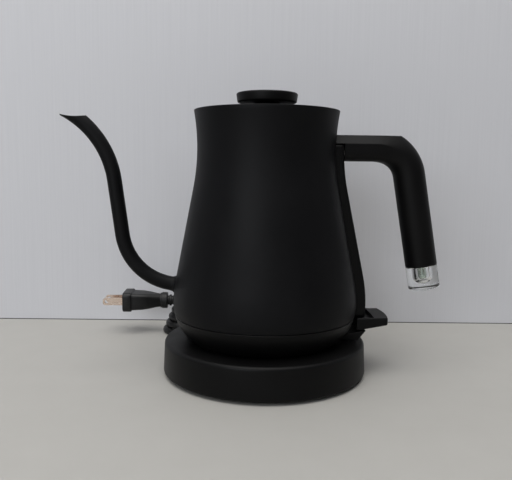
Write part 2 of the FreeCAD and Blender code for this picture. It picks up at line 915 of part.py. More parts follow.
def kettle_connector():
    skirt_in = S.turret_radius + S.seat_clear * 2
    skirt_out = skirt_in + S.connector_skirt
    body = turned("connector_block", [
        (skirt_in, H.floor_under),
        (skirt_out, H.floor_under),
        (skirt_out, H.connector),
        (R.connector, H.connector),
        (R.connector, H.spreader_under),
        (0, H.spreader_under),
        (0, H.connector),
        (skirt_in, H.connector),
    ])
    ring_of_holes(body, R.connector_screws, S.screw_radius, H.spreader_under - H.connector, H.connector)
    disc_under = H.spreader_under - S.disc_thick
    sinks = [
        cylinder("disc_sink", S.disc_radius + S.fit_clear, S.disc_thick, (0, y, disc_under))
        for y in (-S.disc_circle, S.disc_circle)
    ]
    keep(less("connector_moulding", body, *sinks), "kettle_connector")
    discs = [
        cylinder("dry_boil_disc", S.disc_radius, S.disc_thick, (0, y, disc_under))
        for y in (-S.disc_circle, S.disc_circle)
    ]
    keep(group("dry_boil_discs", discs), "dry_boil_discs")
    foot = H.turret_top - S.slot_depth + S.turret_wall
    pin = cylinder("live_pin", S.pin_radius, H.connector - foot, (0, 0, foot))
    rings = []
    for slot in (R.slot_inner, R.slot_outer):
        inner = slot + S.slot_width / 2 - S.ring_thick / 2 + S.contact_thick / 2
        outside = cylinder("ring_outside", inner + S.ring_thick, H.connector - foot, (0, 0, foot))
        inside = cylinder("ring_inside", inner, H.connector - foot, (0, 0, foot))
        rings.append(less("contact_ring", outside, inside))
    keep(group("connector_pins", [pin, *rings]), "connector_pins")
    length = H.spreader_under - H.connector + S.spreader_thick - S.seat_clear
    screws = [
        screw(f"connector_screw_{i}", (x, y, H.connector), "Z", S.screw_radius - S.fit_clear,
              S.connector_screw_head, S.screw_head_height, length)
        for i, (x, y) in enumerate(around(R.connector_screws, 3, HALF_TURN))
    ]
    keep(group("connector_screws", screws), "connector_screws")


def bottom_housing():
    wall = S.housing_wall
    spigot_out = bowl_x(H.seam, sized(0)) - S.spigot_inset
    spigot_in = spigot_out - S.spigot_wall
    inner_arc = S.bowl_arc - wall
    from_centre = spigot_in - (S.belly_radius - S.bowl_arc)
    arc_top = H.belly - root(inner_arc * inner_arc - from_centre * from_centre)
    hole = S.turret_radius + S.seat_clear * 3 + S.connector_skirt
    bowl = turned("housing_bowl", [
        (R.kettle_foot - S.foot_ring_width, H.seat),
        (R.kettle_foot, H.seat),
        (bowl_x(H.housing_top, sized(0)), H.housing_top, S.bowl_arc),
        (spigot_out, H.housing_top),
        (spigot_out, H.housing_top + S.spigot_rise),
        (spigot_in, H.housing_top + S.spigot_rise),
        (spigot_in, arc_top),
        (bowl_x(H.floor_top, wall), H.floor_top, -inner_arc),
        (hole, H.floor_top),
        (hole, H.floor_under),
        (R.kettle_foot - S.foot_ring_width, H.floor_under),
    ])
    ring_of_holes(bowl, R.posts, S.screw_radius + S.fit_clear, S.housing_floor, H.floor_under)
    slope = sine(S.lever_slope_angle) / cosine(S.lever_slope_angle)
    under_tip = H.lever - S.lever_tip_thick
    reach = R.fairing
    top = under_tip - (R.lever_tip - reach) * slope - S.fairing_gap
    rake = sine(S.fairing_rake_angle) / cosine(S.fairing_rake_angle)
    foot = reach - (top - H.floor_under) * rake
    inside = R.pivot - S.lug_round
    fairing = padded("switch_fairing", "XZ_Plane", [
        (R.fairing_root, H.floor_under),
        (foot, H.floor_under),
        (reach, top),
        (R.pivot, top - (reach - R.pivot) * slope),
        (R.fairing_root, top - (reach - R.pivot) * slope),
    ], S.fairing_half * 2, both_ways=True)
    lug_at = S.stem_half + S.lug_gap
    pivot = pivot_height()
    lugs = []
    for y in (lug_at, -lug_at - S.lug_thick):
        post = box("lug_post", S.lug_round * 2, S.lug_thick, pivot - H.floor_under - S.housing_floor / 2,
                   (inside, y, H.floor_under + S.housing_floor / 2))
        lugs += [post, cylinder("lug_eye", S.lug_round, S.lug_thick, (R.pivot, y, pivot), "Y")]
    window = box("lever_window", S.belly_radius, lug_at * 2, H.housing_top - S.seam_gap - H.floor_top,
                 (inside, -lug_at, top - (reach - R.pivot) * slope))
    bore = cylinder("pivot_bore", S.pivot_radius + S.fit_clear, S.fairing_half * 2,
                    (R.pivot, -S.fairing_half, pivot), "Y")
    whole = fused("housing_whole", less("housing_open", bowl, window), fairing, *lugs)
    keep(less("bottom_housing", whole, bore), "bottom_housing")
    posts = []
    screws = []
    for i, (x, y) in enumerate(around(R.posts, 3, HALF_TURN)):
        column = cylinder("post_column", S.post_radius, H.plate_under - H.floor_top, (x, y, H.floor_top))
        hole = cylinder("post_hole", S.screw_radius + S.fit_clear, S.post_screw, (x, y, H.floor_top))
        posts.append(less("spacer_post", column, hole))
        screws.append(screw(f"bottom_screw_{i}", (x, y, H.floor_under), "Z", S.screw_radius,
                            S.screw_head_radius, S.screw_head_height, S.post_screw))
    keep(group("spacer_posts", posts), "spacer_posts")
    keep(group("bottom_screws", screws), "bottom_screws")


# Switch: lever, pin, rod and box.


def pivot_height():
    return H.lever - S.lever_pocket_depth - S.stem_thick / 2


def lever_plan(name, low, high):
    """The paddle seen from above: curved round the bowl inside, bowed at its tip."""
    half = S.lever_half
    near = root(R.lever_inner * R.lever_inner - half * half)
    tip = R.lever_tip - S.lever_tip_arc + root(S.lever_tip_arc * S.lever_tip_arc - half * half)
    return padded(name, "XY_Plane", [
        (near, -half, -R.lever_inner),
        (tip, -half),
        (tip, half, S.lever_tip_arc),
        (near, half),
    ], high - low, low)


def switch_lever():
    slope = sine(S.lever_slope_angle) / cosine(S.lever_slope_angle)
    under_tip = H.lever - S.lever_tip_thick
    lowest = under_tip - (R.lever_tip - R.pivot) * slope
    plan = lever_plan("lever_plan", lowest, H.lever)
    side = padded("lever_side", "XZ_Plane", [
        (R.pivot, lowest),
        (R.lever_tip, under_tip),
        (R.lever_tip, H.lever),
        (R.pivot, H.lever),
    ], S.lever_half * 3, both_ways=True)
    paddle = overlap("lever_paddle", plan, side)
    pocket_floor = H.lever - S.lever_pocket_depth
    pocket_half = S.lever_half - S.lever_wall
    pocket = box("lever_pocket", R.lever_pocket - R.pivot, pocket_half * 2, S.lever_pocket_depth * 2,
                 (R.pivot, -pocket_half, pocket_floor))
    stem_under = pocket_floor - S.stem_thick
    stem = box("lever_stem", R.lever_inner - R.stem_end + S.lever_wall, S.stem_half * 2, S.stem_thick,
               (R.stem_end, -S.stem_half, stem_under))
    barrel = cylinder("lever_barrel", S.lug_round, S.stem_half * 2,
                      (R.pivot, -S.stem_half, pivot_height()), "Y")
    bore = cylinder("lever_bore", S.pivot_radius + S.fit_clear, S.lever_half * 2,
                    (R.pivot, -S.lever_half, pivot_height()), "Y")
    whole = fused("lever_whole", less("lever_cut", paddle, pocket), stem, barrel)
    keep(less("switch_lever", whole, bore), "switch_lever")
    pin_half = S.stem_half + S.lug_gap + S.lug_thick
    pin = cylinder("lever_pin", S.pivot_radius, pin_half * 2, (R.pivot, -pin_half, pivot_height()), "Y")
    keep(pin, "lever_pin")
    box_top = H.floor_top + S.switch_box_height
    case = box("switch_case", S.switch_box_length, S.switch_box_half * 2, S.switch_box_height,
               (R.rod - S.switch_box_length / 2, -S.switch_box_half, H.floor_top))
    well = cylinder("rod_well", S.rod_radius + S.seat_clear, S.rod_sink, (R.rod, 0, box_top - S.rod_sink))
    keep(less("switch_box", case, well), "switch_box")
    rod_foot = box_top - S.rod_sink + S.fit_clear
    rod = cylinder("trip_rod", S.rod_radius, stem_under - S.seat_clear - rod_foot, (R.rod, 0, rod_foot))
    keep(rod, "trip_rod")


# Handle.


def spine_outline(inset, foot, head_x, head_z):
    low_out = S.spine_out_low - inset
    top_out = S.spine_out_top - inset
    low, high = flank(low_out, top_out)
    under = H.arm_bottom
    rise = under - H.waist
    arc = S.waist_arc - top_out
    under_x = S.waist_radius + S.waist_arc - root(arc * arc - rise * rise)
    return [
        (S.belly_radius - S.spine_root, foot),
        (S.belly_radius + low_out, foot),
        (S.belly_radius + low_out, H.belly),
        (*low, S.belly_arc + low_out),
        high,
        (under_x, under, -arc),
        (head_x, under),
        (head_x, head_z),
        (S.waist_radius - S.spine_root, head_z),
    ]


def handle_spine(form):
    outside = padded("spine_outside", "XZ_Plane",
                     spine_outline(sized(0), H.spine_foot, R.arm_joint, H.arm_top),
                     S.spine_half * 2, both_ways=True)
    half = S.spine_half.value
    foot = H.spine_foot.value
    neck = H.arm_bottom.value

    def along_the_back(edge):
        at_side = all(math.isclose(abs(v.Y), half, abs_tol=0.01) for v in edge.Vertexes)
        middle = edge.CenterOfMass
        return at_side and middle.x > S.waist_radius.value and foot + 1 < middle.z < neck - 1

    round_edges(outside, S.spine_edge, along_the_back)
    channel = padded("spine_channel", "XZ_Plane",
                     spine_outline(S.spine_wall, H.spine_foot + S.spine_wall,
                                   R.arm_joint - S.spine_head_room, H.arm_top - S.spine_wall),
                     (S.spine_half - S.spine_wall) * 2, both_ways=True)
    wire_hole = cylinder("wire_hole", S.grip_bore, S.spine_head_room * 2,
                         (R.arm_joint - S.spine_head_room * 1.5, 0, H.arm), "X")
    holes = [
        cylinder("screw_hole", S.screw_radius + S.fit_clear, S.spine_head_room * 2,
                 (R.arm_joint - S.spine_head_room * 1.5, y, H.handle_screw), "X")
        for y in (-R.handle_screw, R.handle_screw)
    ]
    keep(less("handle_spine", outside, channel, wire_hole, *holes, form), "handle_spine")
    screws = [
        screw(f"handle_screw_{i}", (R.arm_joint - S.spine_head_room, y, H.handle_screw), "X",
              S.screw_radius, S.handle_screw_head, S.screw_head_height, S.handle_screw)
        for i, y in enumerate((-R.handle_screw, R.handle_screw))
    ]
    keep(group("handle_screws", screws), "handle_screws")
    studs = []
    low_end, high_end = flank(S.spine_out_low - S.spine_wall, S.spine_out_top - S.spine_wall)
    for z in (H.stud_low, H.stud_high):
        share = (z - low_end[1]) / (high_end[1] - low_end[1])
        end = low_end[0] + (high_end[0] - low_end[0]) * share
        reach = S.spine_out_low * 2
        rod = cylinder("stud_rod", S.stud_radius, reach - S.stud_radius / 2, (end - reach, 0, z), "X")
        studs.append(less("weld_stud", rod, form))
    keep(group("weld_studs", studs), "weld_studs")


def grip_end():
    """Middle of the grip's lower end and the unit direction down the grip, as numbers."""
    lean = math.radians(S.grip_lean_angle.value)
    along = Vector(math.sin(lean), 0, -math.cos(lean))
    middle = Vector(R.bend.value, 0, H.bend.value)
    start = middle + Vector(math.cos(lean), 0, math.sin(lean)) * S.grip_bend.value
    return start + along * S.grip_length.value, along


def grip_section(centre, across, up, roundness):
    """Closed section of the handle: a shouldered bar at 0 and a circle at 1, in eight matching edges."""
    wide = S.grip_radius.value
    low = S.arm_bottom.value
    corner = S.arm_corner.value
    top = wide - S.arm_shoulder.value
    bar = [(corner - wide, -low), (wide - corner, -low), (wide, corner - low), (wide, 0), (top, wide)]
    bar += [(-top, wide), (-wide, 0), (-wide, corner - low)]
    slant = corner * (1 - math.sqrt(0.5))
    bar_middles = [((a[0] + b[0]) / 2, (a[1] + b[1]) / 2) for a, b in zip(bar, bar[1:] + bar[:1])]
    bar_middles[1] = (wide - slant, slant - low)
    bar_middles[7] = (slant - wide, slant - low)
    ends = SECTION_ANGLES[1:] + [SECTION_ANGLES[0] + 360]
    arcs = [math.radians((a + b) / 2) for a, b in zip(SECTION_ANGLES, ends)]

    def spot(flat_point, angle):
        y = flat_point[0] * (1 - roundness) + wide * math.cos(angle) * roundness
        v = flat_point[1] * (1 - roundness) + wide * math.sin(angle) * roundness
        return centre + across * y + up * v

    corners = [spot(p, math.radians(a)) for p, a in zip(bar, SECTION_ANGLES)]
    middles = [spot(p, a) for p, a in zip(bar_middles, arcs)]
    edges = []
    for i, (start, middle) in enumerate(zip(corners, middles)):
        end = corners[(i + 1) % len(corners)]
        straight = (middle - (start + end) * 0.5).Length < 1e-4
        edge = Part.LineSegment(start, end) if straight else Part.Arc(start, middle, end)
        edges.append(edge.toShape())
    return Part.Wire(edges)


def handle_path(start_x):
    """Centreline of the arm, bend and grip, as edges from the spine to the lens."""
    end, along = grip_end()
    bend = S.grip_bend.value
    middle = Vector(R.bend.value, 0, H.bend.value)
    lean = math.radians(S.grip_lean_angle.value)
    first = Vector(start_x, 0, H.arm.value)
    turn_in = middle + Vector(0, 0, bend)
    half = (math.pi / 2 - lean) / 2
    turn_mid = middle + Vector(math.sin(half), 0, math.cos(half)) * bend
    turn_out = middle + Vector(math.cos(lean), 0, math.sin(lean)) * bend
    return [
        Part.LineSegment(first, turn_in).toShape(),
        Part.Arc(turn_in, turn_mid, turn_out).toShape(),
        Part.LineSegment(turn_out, end).toShape(),
    ]


def pipe_along(edges, radius):
    """A round solid along a path of lines and arcs."""
    wire = Part.Wire(edges)
    start = edges[0].valueAt(edges[0].FirstParameter)
    heading = edges[0].tangentAt(edges[0].FirstParameter)
    ring = Part.Wire([Part.makeCircle(radius, start, heading)])
    return wire.makePipeShell([ring], True, False)


def handle_grip():
    end, along = grip_end()
    bend = S.grip_bend.value
    middle = Vector(R.bend.value, 0, H.bend.value)
    across = Vector(0, 1, 0)
    up = Vector(0, 0, 1)
    joint = Vector(R.arm_joint.value, 0, H.arm.value)
    arm = Part.Face(grip_section(joint, across, up, 0.0)).extrude(middle + up * bend - joint)
    turn = math.radians(90 - S.grip_lean_angle.value)
    sections = []
    for i in range(BEND_SECTIONS + 1):
        share = i / BEND_SECTIONS
        out = Vector(math.sin(turn * share), 0, math.cos(turn * share))
        roundness = min(1.0, max(0.0, (share - BLEND_START) / (BLEND_END - BLEND_START)))
        roundness = roundness * roundness * (3 - 2 * roundness)
        sections.append(grip_section(middle + out * bend, across, out, roundness))
    bow = Part.makeLoft(sections, True, False)
    grip = Part.makeCylinder(S.grip_radius.value, S.grip_length.value, end, along * -1)
    parts = [solid_feature("arm_bar", arm), solid_feature("bend_bar", bow), solid_feature("grip_rod", grip)]
    bar = fused("grip_bar", *parts)
    above = box("above_arm", S.grip_bend * 4, S.grip_radius * 4, S.grip_radius * 2,
                (R.arm_joint - S.grip_radius, S.grip_radius * -2, H.arm_top))
    path = handle_path(R.arm_joint.value - S.seat_clear.value)
    bore = solid_feature("grip_hollow", pipe_along(path, S.grip_bore.value))
    socket = solid_feature("holder_socket", Part.makeCylinder(
        S.holder_radius.value + S.fit_clear.value, S.holder_depth.value, end, along * -1))
    pilots = [
        cylinder("grip_pilot", S.screw_radius + S.fit_clear, S.handle_screw,
                 (R.arm_joint, y, H.handle_screw), "X")
        for y in (-R.handle_screw, R.handle_screw)
    ]
    keep(less("handle_grip", bar, above, bore, socket, *pilots), "handle_grip")


def lamp():
    """Clear lens, neon lamp and its holder, turned in their own frame and set on the end of the grip."""
    end, along = grip_end()
    tilt = Rotation(Vector(0, 1, 0), -S.grip_lean_angle.value)
    lens = turned("lamp_lens", [
        (0, -S.lens_length),
        (S.grip_radius - S.lens_edge, -S.lens_length),
        (S.grip_radius, S.lens_edge - S.lens_length, S.lens_edge),
        (S.grip_radius, 0),
        (S.lens_bore, 0),
        (S.lens_bore, S.lens_bore - S.lens_depth),
        (0, -S.lens_depth, -S.lens_bore),
    ])
    holder = turned("holder_disc", [
        (0, 0),
        (S.holder_radius, 0),
        (S.holder_radius, S.holder_depth),
        (0, S.holder_depth),
    ])
    wires = [
        cylinder("wire_bore", S.electrode_radius + S.fit_clear, S.holder_depth, (x, 0, 0))
        for x in (S.electrode_gap / -2, S.electrode_gap / 2)
    ]
    holder = less("lamp_holder_bored", holder, *wires)
    glass = turned("neon_lamp", [
        (0, -S.lamp_length),
        (S.lamp_radius, S.lamp_radius - S.lamp_length, S.lamp_radius),
        (S.lamp_radius, 0),
        (S.lamp_radius - S.lamp_glass, 0),
        (S.lamp_radius - S.lamp_glass, S.lamp_radius - S.lamp_length),
        (0, S.lamp_glass - S.lamp_length, S.lamp_glass - S.lamp_radius),
    ])
    rod_length = S.electrode_length + S.holder_depth
    rods = [
        cylinder("electrode", S.electrode_radius, rod_length, (x, 0, -S.electrode_length))
        for x in (S.electrode_gap / -2, S.electrode_gap / 2)
    ]
    electrodes = group("lamp_electrodes", rods)
    for thing, label in ((lens, "lamp_lens"), (holder, "lamp_holder"), (glass, "neon_lamp"),
                         (electrodes, "lamp_electrodes")):
        thing.Placement = Placement(end, tilt)
        keep(thing, label)
    top = end - along * S.holder_depth.value
    edges = handle_path(R.arm_joint.value - S.spine_head_room.value)
    grip = Part.LineSegment(edges[2].valueAt(edges[2].FirstParameter), top).toShape()
    lead = solid_feature("lamp_lead", pipe_along(edges[:2] + [grip], S.lead_radius.value))
    keep(lead, "lamp_lead")


# Lid.


def lid():
    edge = waist_x(H.lid_under, S.shell_wall) - S.lid_side_clear
    skirt = edge - S.skirt_inset
    skirt_foot = H.lid_under - S.skirt_depth
    plate = turned("lid_plate", [
        (S.screw_radius + S.fit_clear, H.lid_under),
        (edge, H.lid_under),
        (edge, H.lid_top),
        (S.screw_radius + S.fit_clear, H.lid_top),
    ])
    keep(plate, "lid_plate")
    cup = turned("lid_skirt", [
        (S.knob_neck, skirt_foot),
        (skirt, skirt_foot),
        (skirt, H.lid_under),
        (skirt - S.skirt_wall, H.lid_under),
        (skirt - S.skirt_wall, skirt_foot + S.skirt_wall),
        (S.knob_neck, skirt_foot + S.skirt_wall),
    ])
    keep(cup, "lid_skirt")
    gasket_top = H.lid_under - S.gasket_drop
    lip = waist_x(gasket_top - S.gasket_height, S.shell_wall) - S.lid_side_clear
    gasket = turned("lid_gasket", [
        (skirt + S.fit_clear, gasket_top - S.gasket_height),
        (lip, gasket_top - S.gasket_height),
        (lip, gasket_top - S.gasket_height / 2),
        (skirt + S.fit_clear, gasket_top),
    ])
    keep(gasket, "lid_gasket")
    neck = S.knob_neck
    thread = S.screw_radius + S.fit_clear
    depth = S.knob_screw_length - S.lid_thick
    knob = turned("lid_knob", [
        (thread, H.lid_top),
        (neck, H.lid_top),
        (neck, H.knob_under),
        (S.knob_foot_radius - S.knob_edge, H.knob_under),
        (S.knob_foot_radius, H.knob_under + S.knob_edge, S.knob_edge),
        (S.knob_radius, H.knob_top - S.knob_edge),
        (S.knob_radius - S.knob_edge, H.knob_top, S.knob_edge),
        (0, H.knob_top),
        (0, H.lid_top + depth),
        (thread, H.lid_top + depth),
    ])
    keep(knob, "lid_knob")
    stud = screw("knob_screw", (0, 0, H.lid_under), "Z", S.screw_radius, S.knob_screw_head,
                 S.screw_head_height, S.knob_screw_length - S.seat_clear)
    keep(stud, "knob_screw")


# Mains lead.


def gland():
    """Strain relief, turned along its own axis, with its neck in the wall of the base."""
    radius = S.base_radius
    inner = radius - S.base_draft - S.base_wall - S.seat_clear
    outer = radius + S.seat_clear
    flange = S.gland_flange
    thick = S.base_wall
    corners = [
        (0, inner - thick),
        (flange, inner - thick),
        (flange, inner),
        (S.gland_neck, inner),
        (S.gland_neck, outer),
        (flange, outer),
        (flange, outer + thick),
    ]
    pitch = S.gland_length / (S.gland_ribs.value * 2)
    fall = (S.gland_root - S.gland_end) / (S.gland_ribs.value * 2)
    for i in range(int(S.gland_ribs.value)):
        start = outer + thick + pitch * (2 * i)
        rib = S.gland_root - fall * (2 * i)
        groove = rib - S.relief_groove
        corners += [(groove, start), (groove, start + pitch), (rib, start + pitch), (rib, start + pitch * 2)]
    corners.append((0, outer + thick + S.gland_length))
    body = turned("cord_gland", corners)
    body.Placement = Placement(Vector(0, 0, H.gland.value), BASE_TURN.multiply(TURN_TO["X"]))
    body.setExpression("Placement.Base.z", H.gland.text)
    keep(body, "cord_gland")
    end = (outer + thick + S.gland_length).value
    heading = BASE_TURN.multVec(Vector(1, 0, 0))
    return heading * end + Vector(0, 0, H.gland.value), heading


def bent_route(points):
    """Straight runs joined by arcs as large as their runs allow, and the radii of those arcs."""
    edges = []
    radii = []
    last = points[0]
    for before, corner, after in zip(points, points[1:], points[2:]):
        back = before - corner
        on = after - corner
        turn = math.pi - back.getAngle(on)
        cut = BEND_SHARE * min(back.Length, on.Length)
        radius = cut / math.tan(turn / 2)
        radii.append(radius)
        start = corner + back.normalize() * cut
        end = corner + on.normalize() * cut
        inward = (start + end) * 0.5 - corner
        bow = radius / math.cos(turn / 2) - radius
        edges.append(Part.LineSegment(last, start).toShape())
        edges.append(Part.Arc(start, corner + inward.normalize() * bow, end).toShape())
        last = end
    edges.append(Part.LineSegment(last, points[-1]).toShape())
    return edges, radii


def s_bend(start, end, heading):
    """Two equal arcs from one point to another that leave and arrive along the same heading."""
    middle = (start + end) * 0.5
    edges = []
    for a, b, way in ((start, middle, 1), (end, middle, -1)):
        chord = b - a
        side = chord - heading * chord.dot(heading)
        if side.Length < 1e-6:
            edges.append(Part.LineSegment(start, end).toShape())
            return edges
        radius = chord.Length ** 2 / (2 * side.Length)
        centre = a + side.normalize() * radius
        bow = ((a - centre) + (b - centre)).normalize() * radius
        first, last = (a, b) if way > 0 else (b, a)
        edges.append(Part.Arc(first, centre + bow, last).toShape())
    return edges


def hank_route(tail):
    """The hank's centreline: loops of two runs and two folds, one on the other, drawn in at the tied waist.
    It ends in the run on top that leads out to the plug."""
    fold = S.hank_fold.value
    y = S.hank_behind.value
    first_left = S.hank_left.value + S.cord_radius.value + fold
    right = first_left + S.hank_run.value
    waist = (first_left + right) / 2
    near = S.hank_waist.value
    step = S.hank_step.value
    lift = S.tie_lift.value
    out = Vector(-1, 0, 0)
    back = Vector(1, 0, 0)
    floor = S.cord_radius.value
    layers = int(S.hank_layers.value)
    straight = S.cord_radius.value * 2
    start = Vector(first_left, y + fold, floor)
    edges = [Part.LineSegment(start + back * straight, start).toShape()]
    for layer in range(layers):
        z = floor + step * layer
        left = first_left + S.hank_setback.value * layer
        edges += half_turn(Vector(left, y, z), fold, -1)
        edges += s_bend(Vector(left, y - fold, z), Vector(waist, y - near, z + lift), back)
        edges += s_bend(Vector(waist, y - near, z + lift), Vector(right, y - fold, z), back)
        edges += half_turn(Vector(right, y, z), fold, 1)
        middle = Vector(waist, y + near, z + step / 2 + lift)
        edges += s_bend(Vector(right, y + fold, z), middle, out)
        if layer < layers - 1:
            edges += s_bend(middle, Vector(left + S.hank_setback.value, y + fold, z + step), out)
        else:
            edges += s_bend(middle, tail + back * straight, out)
    edges.append(Part.LineSegment(tail + back * straight, tail).toShape())
    return edges


def half_turn(centre, radius, side):
    """Two quarter arcs round the end of the hank: the left end for -1, the right end for 1."""
    first = centre + Vector(0, -side * radius, 0)
    tip = centre + Vector(side * radius, 0, 0)
    last = centre + Vector(0, side * radius, 0)
    slant = radius * math.sqrt(0.5)
    return [
        Part.Arc(first, centre + Vector(side * slant, -side * slant, 0), tip).toShape(),
        Part.Arc(tip, centre + Vector(side * slant, side * slant, 0), last).toShape(),
    ]


def self_gap(edges, diameter):
    """Least clear distance between stretches of a cord that aren't neighbours, measured on points."""
    places = []
    walked = 0.0
    for edge in edges:
        count = max(2, int(edge.Length / diameter * 4))
        for i in range(count):
            along = edge.Length * i / count
            places.append((walked + along, edge.valueAt(edge.getParameterByLength(along))))
        walked += edge.Length
    least = None
    for i, (here, p) in enumerate(places):
        for there, q in places[i + 1:]:
            if there - here > 4 * diameter:
                gap = p.distanceToPoint(q) - diameter
                least = gap if least is None else min(least, gap)
    return least


def mains_lead():
    exit_point, heading = gland()
    radius = S.cord_radius.value
    left = S.hank_left.value + radius + S.hank_fold.value
    start = Vector(left + radius * 2, S.hank_behind.value + S.hank_fold.value, radius)
    route, radii = bent_route([exit_point, *[Vector(*p) for p in LEAD_POINTS], start])
    lead = pipe_along(route, radius)
    lead_length = sum(edge.Length for edge in route)
    section = math.pi * radius ** 2
    print("lead bends:", [round(r, 1) for r in radii])
    print("lead:", round(lead_length, 1), "volume share", round(lead.Volume / (section * lead_length), 4))
    keep(solid_feature("cord_lead", lead), "cord_lead")
    tail_x = S.plug_face + S.plug_flange_long + S.plug_body_long + S.plug_collar_long + S.relief_length
    tail = Vector(tail_x.value, S.hank_behind.value, H.plug.value)
    turns = hank_route(tail)
    hank = pipe_along(turns, radius)
    hank_length = sum(edge.Length for edge in turns)
    print("hank:", round(hank_length, 1), "volume share", round(hank.Volume / (section * hank_length), 4))
    print("hank gap to itself:", round(self_gap(turns, 2 * radius), 2))
    print("cord in all:", round(lead_length + hank_length, 1))
    keep(solid_feature("cord_hank", hank), "cord_hank")


def cord_tie():
    """Flat band round the waist of the hank."""
    half = S.hank_waist + S.cord_radius + S.seat_clear
    waist = S.hank_left + S.cord_radius + S.hank_fold + S.hank_run / 2
    top = S.cord_radius * 2 + S.hank_step * (S.hank_layers - 0.5) + S.tie_lift + S.seat_clear
    corner = S.cord_radius
    band = []
    for name, grow in (("tie_outside", S.tie_thick), ("tie_inside", sized(0))):
        low = S.tie_lift - S.fit_clear - grow
        high = top + grow
        wide = half + grow
        edge = corner + grow
        band.append(padded(name, "YZ_Plane", [
            (wide - edge, low),
            (wide, low + edge, edge),
            (wide, high - edge),
            (wide - edge, high, edge),
            (edge - wide, high),
            (-wide, high - edge, edge),
            (-wide, low + edge),
            (edge - wide, low, edge),
        ], S.tie_width, both_ways=True))
    tie = less("cord_tie", *band)
    place(tie, (waist, S.hank_behind, 0))
    keep(tie, "cord_tie")


def plug():
    """Two-blade mains plug, built along +X from its face and laid on top of the hank."""
    sections = []
    neck_at = S.plug_flange_long + S.plug_body_long
    wide = S.plug_half_wide - S.plug_step
    high = S.plug_flange_half - S.plug_step
    for at, half_wide, half_high in (
        (S.plug_flange_long, wide, high),
        (S.plug_flange_long + S.plug_belly, wide - S.plug_taper, high - S.plug_taper),
        (neck_at, S.plug_neck_half, S.plug_neck_half),
    ):
        sections.append(rounded_rectangle(at.value, half_wide.value, half_high.value))
    shank = solid_feature("plug_shank", Part.makeLoft(sections, True, False))
    face = rounded_rectangle(0, S.plug_half_wide.value, S.plug_flange_half.value)
    flange = solid_feature("plug_flange", Part.Face(face).extrude(Vector(S.plug_flange_long.value, 0, 0)))
    corners = [(0, neck_at), (S.plug_collar_radius, neck_at),
               (S.plug_collar_radius, neck_at + S.plug_collar_long)]
    ribs = int(S.relief_ribs.value)
    pitch = S.relief_length / (ribs * 2)
    fall = (S.relief_radius - S.relief_end_radius) / ribs
    for i in range(ribs):
        start = neck_at + S.plug_collar_long + pitch * (2 * i)
        rib = S.relief_radius - fall * i
        groove = rib - S.relief_groove
        corners += [(groove, start), (groove, start + pitch), (rib, start + pitch), (rib, start + pitch * 2)]
    corners.append((0, neck_at + S.plug_collar_long + S.relief_length))
    relief = turned("plug_relief", corners)
    relief.Placement = Placement(Vector(), TURN_TO["X"])
    body = fused("plug_body", shank, flange, relief)
    place(body, (S.plug_face, S.hank_behind, H.plug))
    keep(body, "plug_body")
    blades = []
    for y in (S.blade_gap / -2, S.blade_gap / 2):
        half = S.blade_width / 2
        strip = padded("blade", "XZ_Plane", [
            (0, -half),
            (0, half),
            (half / 2 - S.blade_length, half),
            (-S.blade_length, half / 2),
            (-S.blade_length, half / -2),
            (half / 2 - S.blade_length, -half),
        ], S.blade_thick, both_ways=True)
        hole = cylinder("blade_hole", S.blade_hole, S.blade_thick * 2,
                        (half - S.blade_length, -S.blade_thick, 0), "Y")
        blade = less("plug_blade", strip, hole)
        place(blade, (S.plug_face, S.hank_behind + y, H.plug))
        blades.append(blade)
    keep(group("plug_blades", blades), "plug_blades")


def rounded_rectangle(x, half_wide, half_high):
    """A closed wire across the X axis, with rounded corners."""
    corner = PLUG_CORNER_SHARE * min(half_wide, half_high)
    slant = corner * math.sqrt(0.5)
    edges = []
    for quarter in range(4):
        sign_y = 1 if quarter in (0, 3) else -1
        sign_z = 1 if quarter in (0, 1) else -1
        middle = Vector(x, sign_y * (half_wide - corner), sign_z * (half_high - corner))
        side = middle + Vector(0, sign_y * corner, 0)
        crown = middle + Vector(0, 0, sign_z * corner)
        first, last = (side, crown) if quarter in (0, 2) else (crown, side)
        edges.append((first, middle + Vector(0, sign_y * slant, sign_z * slant), last))
    shapes = []
    for i, (first, middle, last) in enumerate(edges):
        shapes.append(Part.Arc(first, middle, last).toShape())
        shapes.append(Part.LineSegment(last, edges[(i + 1) % 4][0]).toShape())
    return Part.Wire(shapes)


def check_and_write():
    """Stop if anything failed, then write one file for each piece."""
    doc.recompute()
    broken = [o.Label for o in doc.Objects if "Invalid" in o.State or "Error" in o.State]
    broken += [p.Label for p in PIECES if p.Shape.isNull() or not p.Shape.isValid() or not p.Shape.Solids]
    if broken:
        raise RuntimeError(f"failed pieces: {broken}")
    os.makedirs("parts", exist_ok=True)
    for piece in PIECES:
        piece.Shape.exportStep(f"parts/{piece.Label}.step")
    print(len(PIECES), "pieces")


TURN_TO = {
    "X": Rotation(Vector(0, 1, 0), 90),
    "Y": Rotation(Vector(1, 0, 0), -90),
    "Z": Rotation(),
}
PIECES = []
doc = FreeCAD.newDocument("gooseneck_kettle")
sheet = doc.addObject("Spreadsheet::Sheet", "Sizes")
S = fill_sheet()
H = stack()
R = reaches()
BASE_TURN = Rotation(Vector(0, 0, 1), S.cord_angle.value)

base_housing()
base_cover()
base_turret()
FORM = vessel_form()
body_shell(spout_bore())
spout(FORM)
heater()
kettle_connector()
bottom_housing()
switch_lever()
handle_spine(FORM)
handle_grip()
lamp()
lid()
mains_lead()
cord_tie()
plug()
check_and_write()
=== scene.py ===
# %% [markdown]
# # A gooseneck kettle on its power base
# This lesson dresses a finished CAD model. The frame gives every solid its real size and place. A solid
# that is right keeps its shape and gets a finish. A surface that the eye rests on is modelled again here,
# finer, in the same place, and where the photograph shows it better, as photographed. Sizes and places of
# the kettle's pieces are millimetres, turned into metres by MM. Grain depths, lamps and the stage are
# metres.

# %% Load the frame
import json
import math

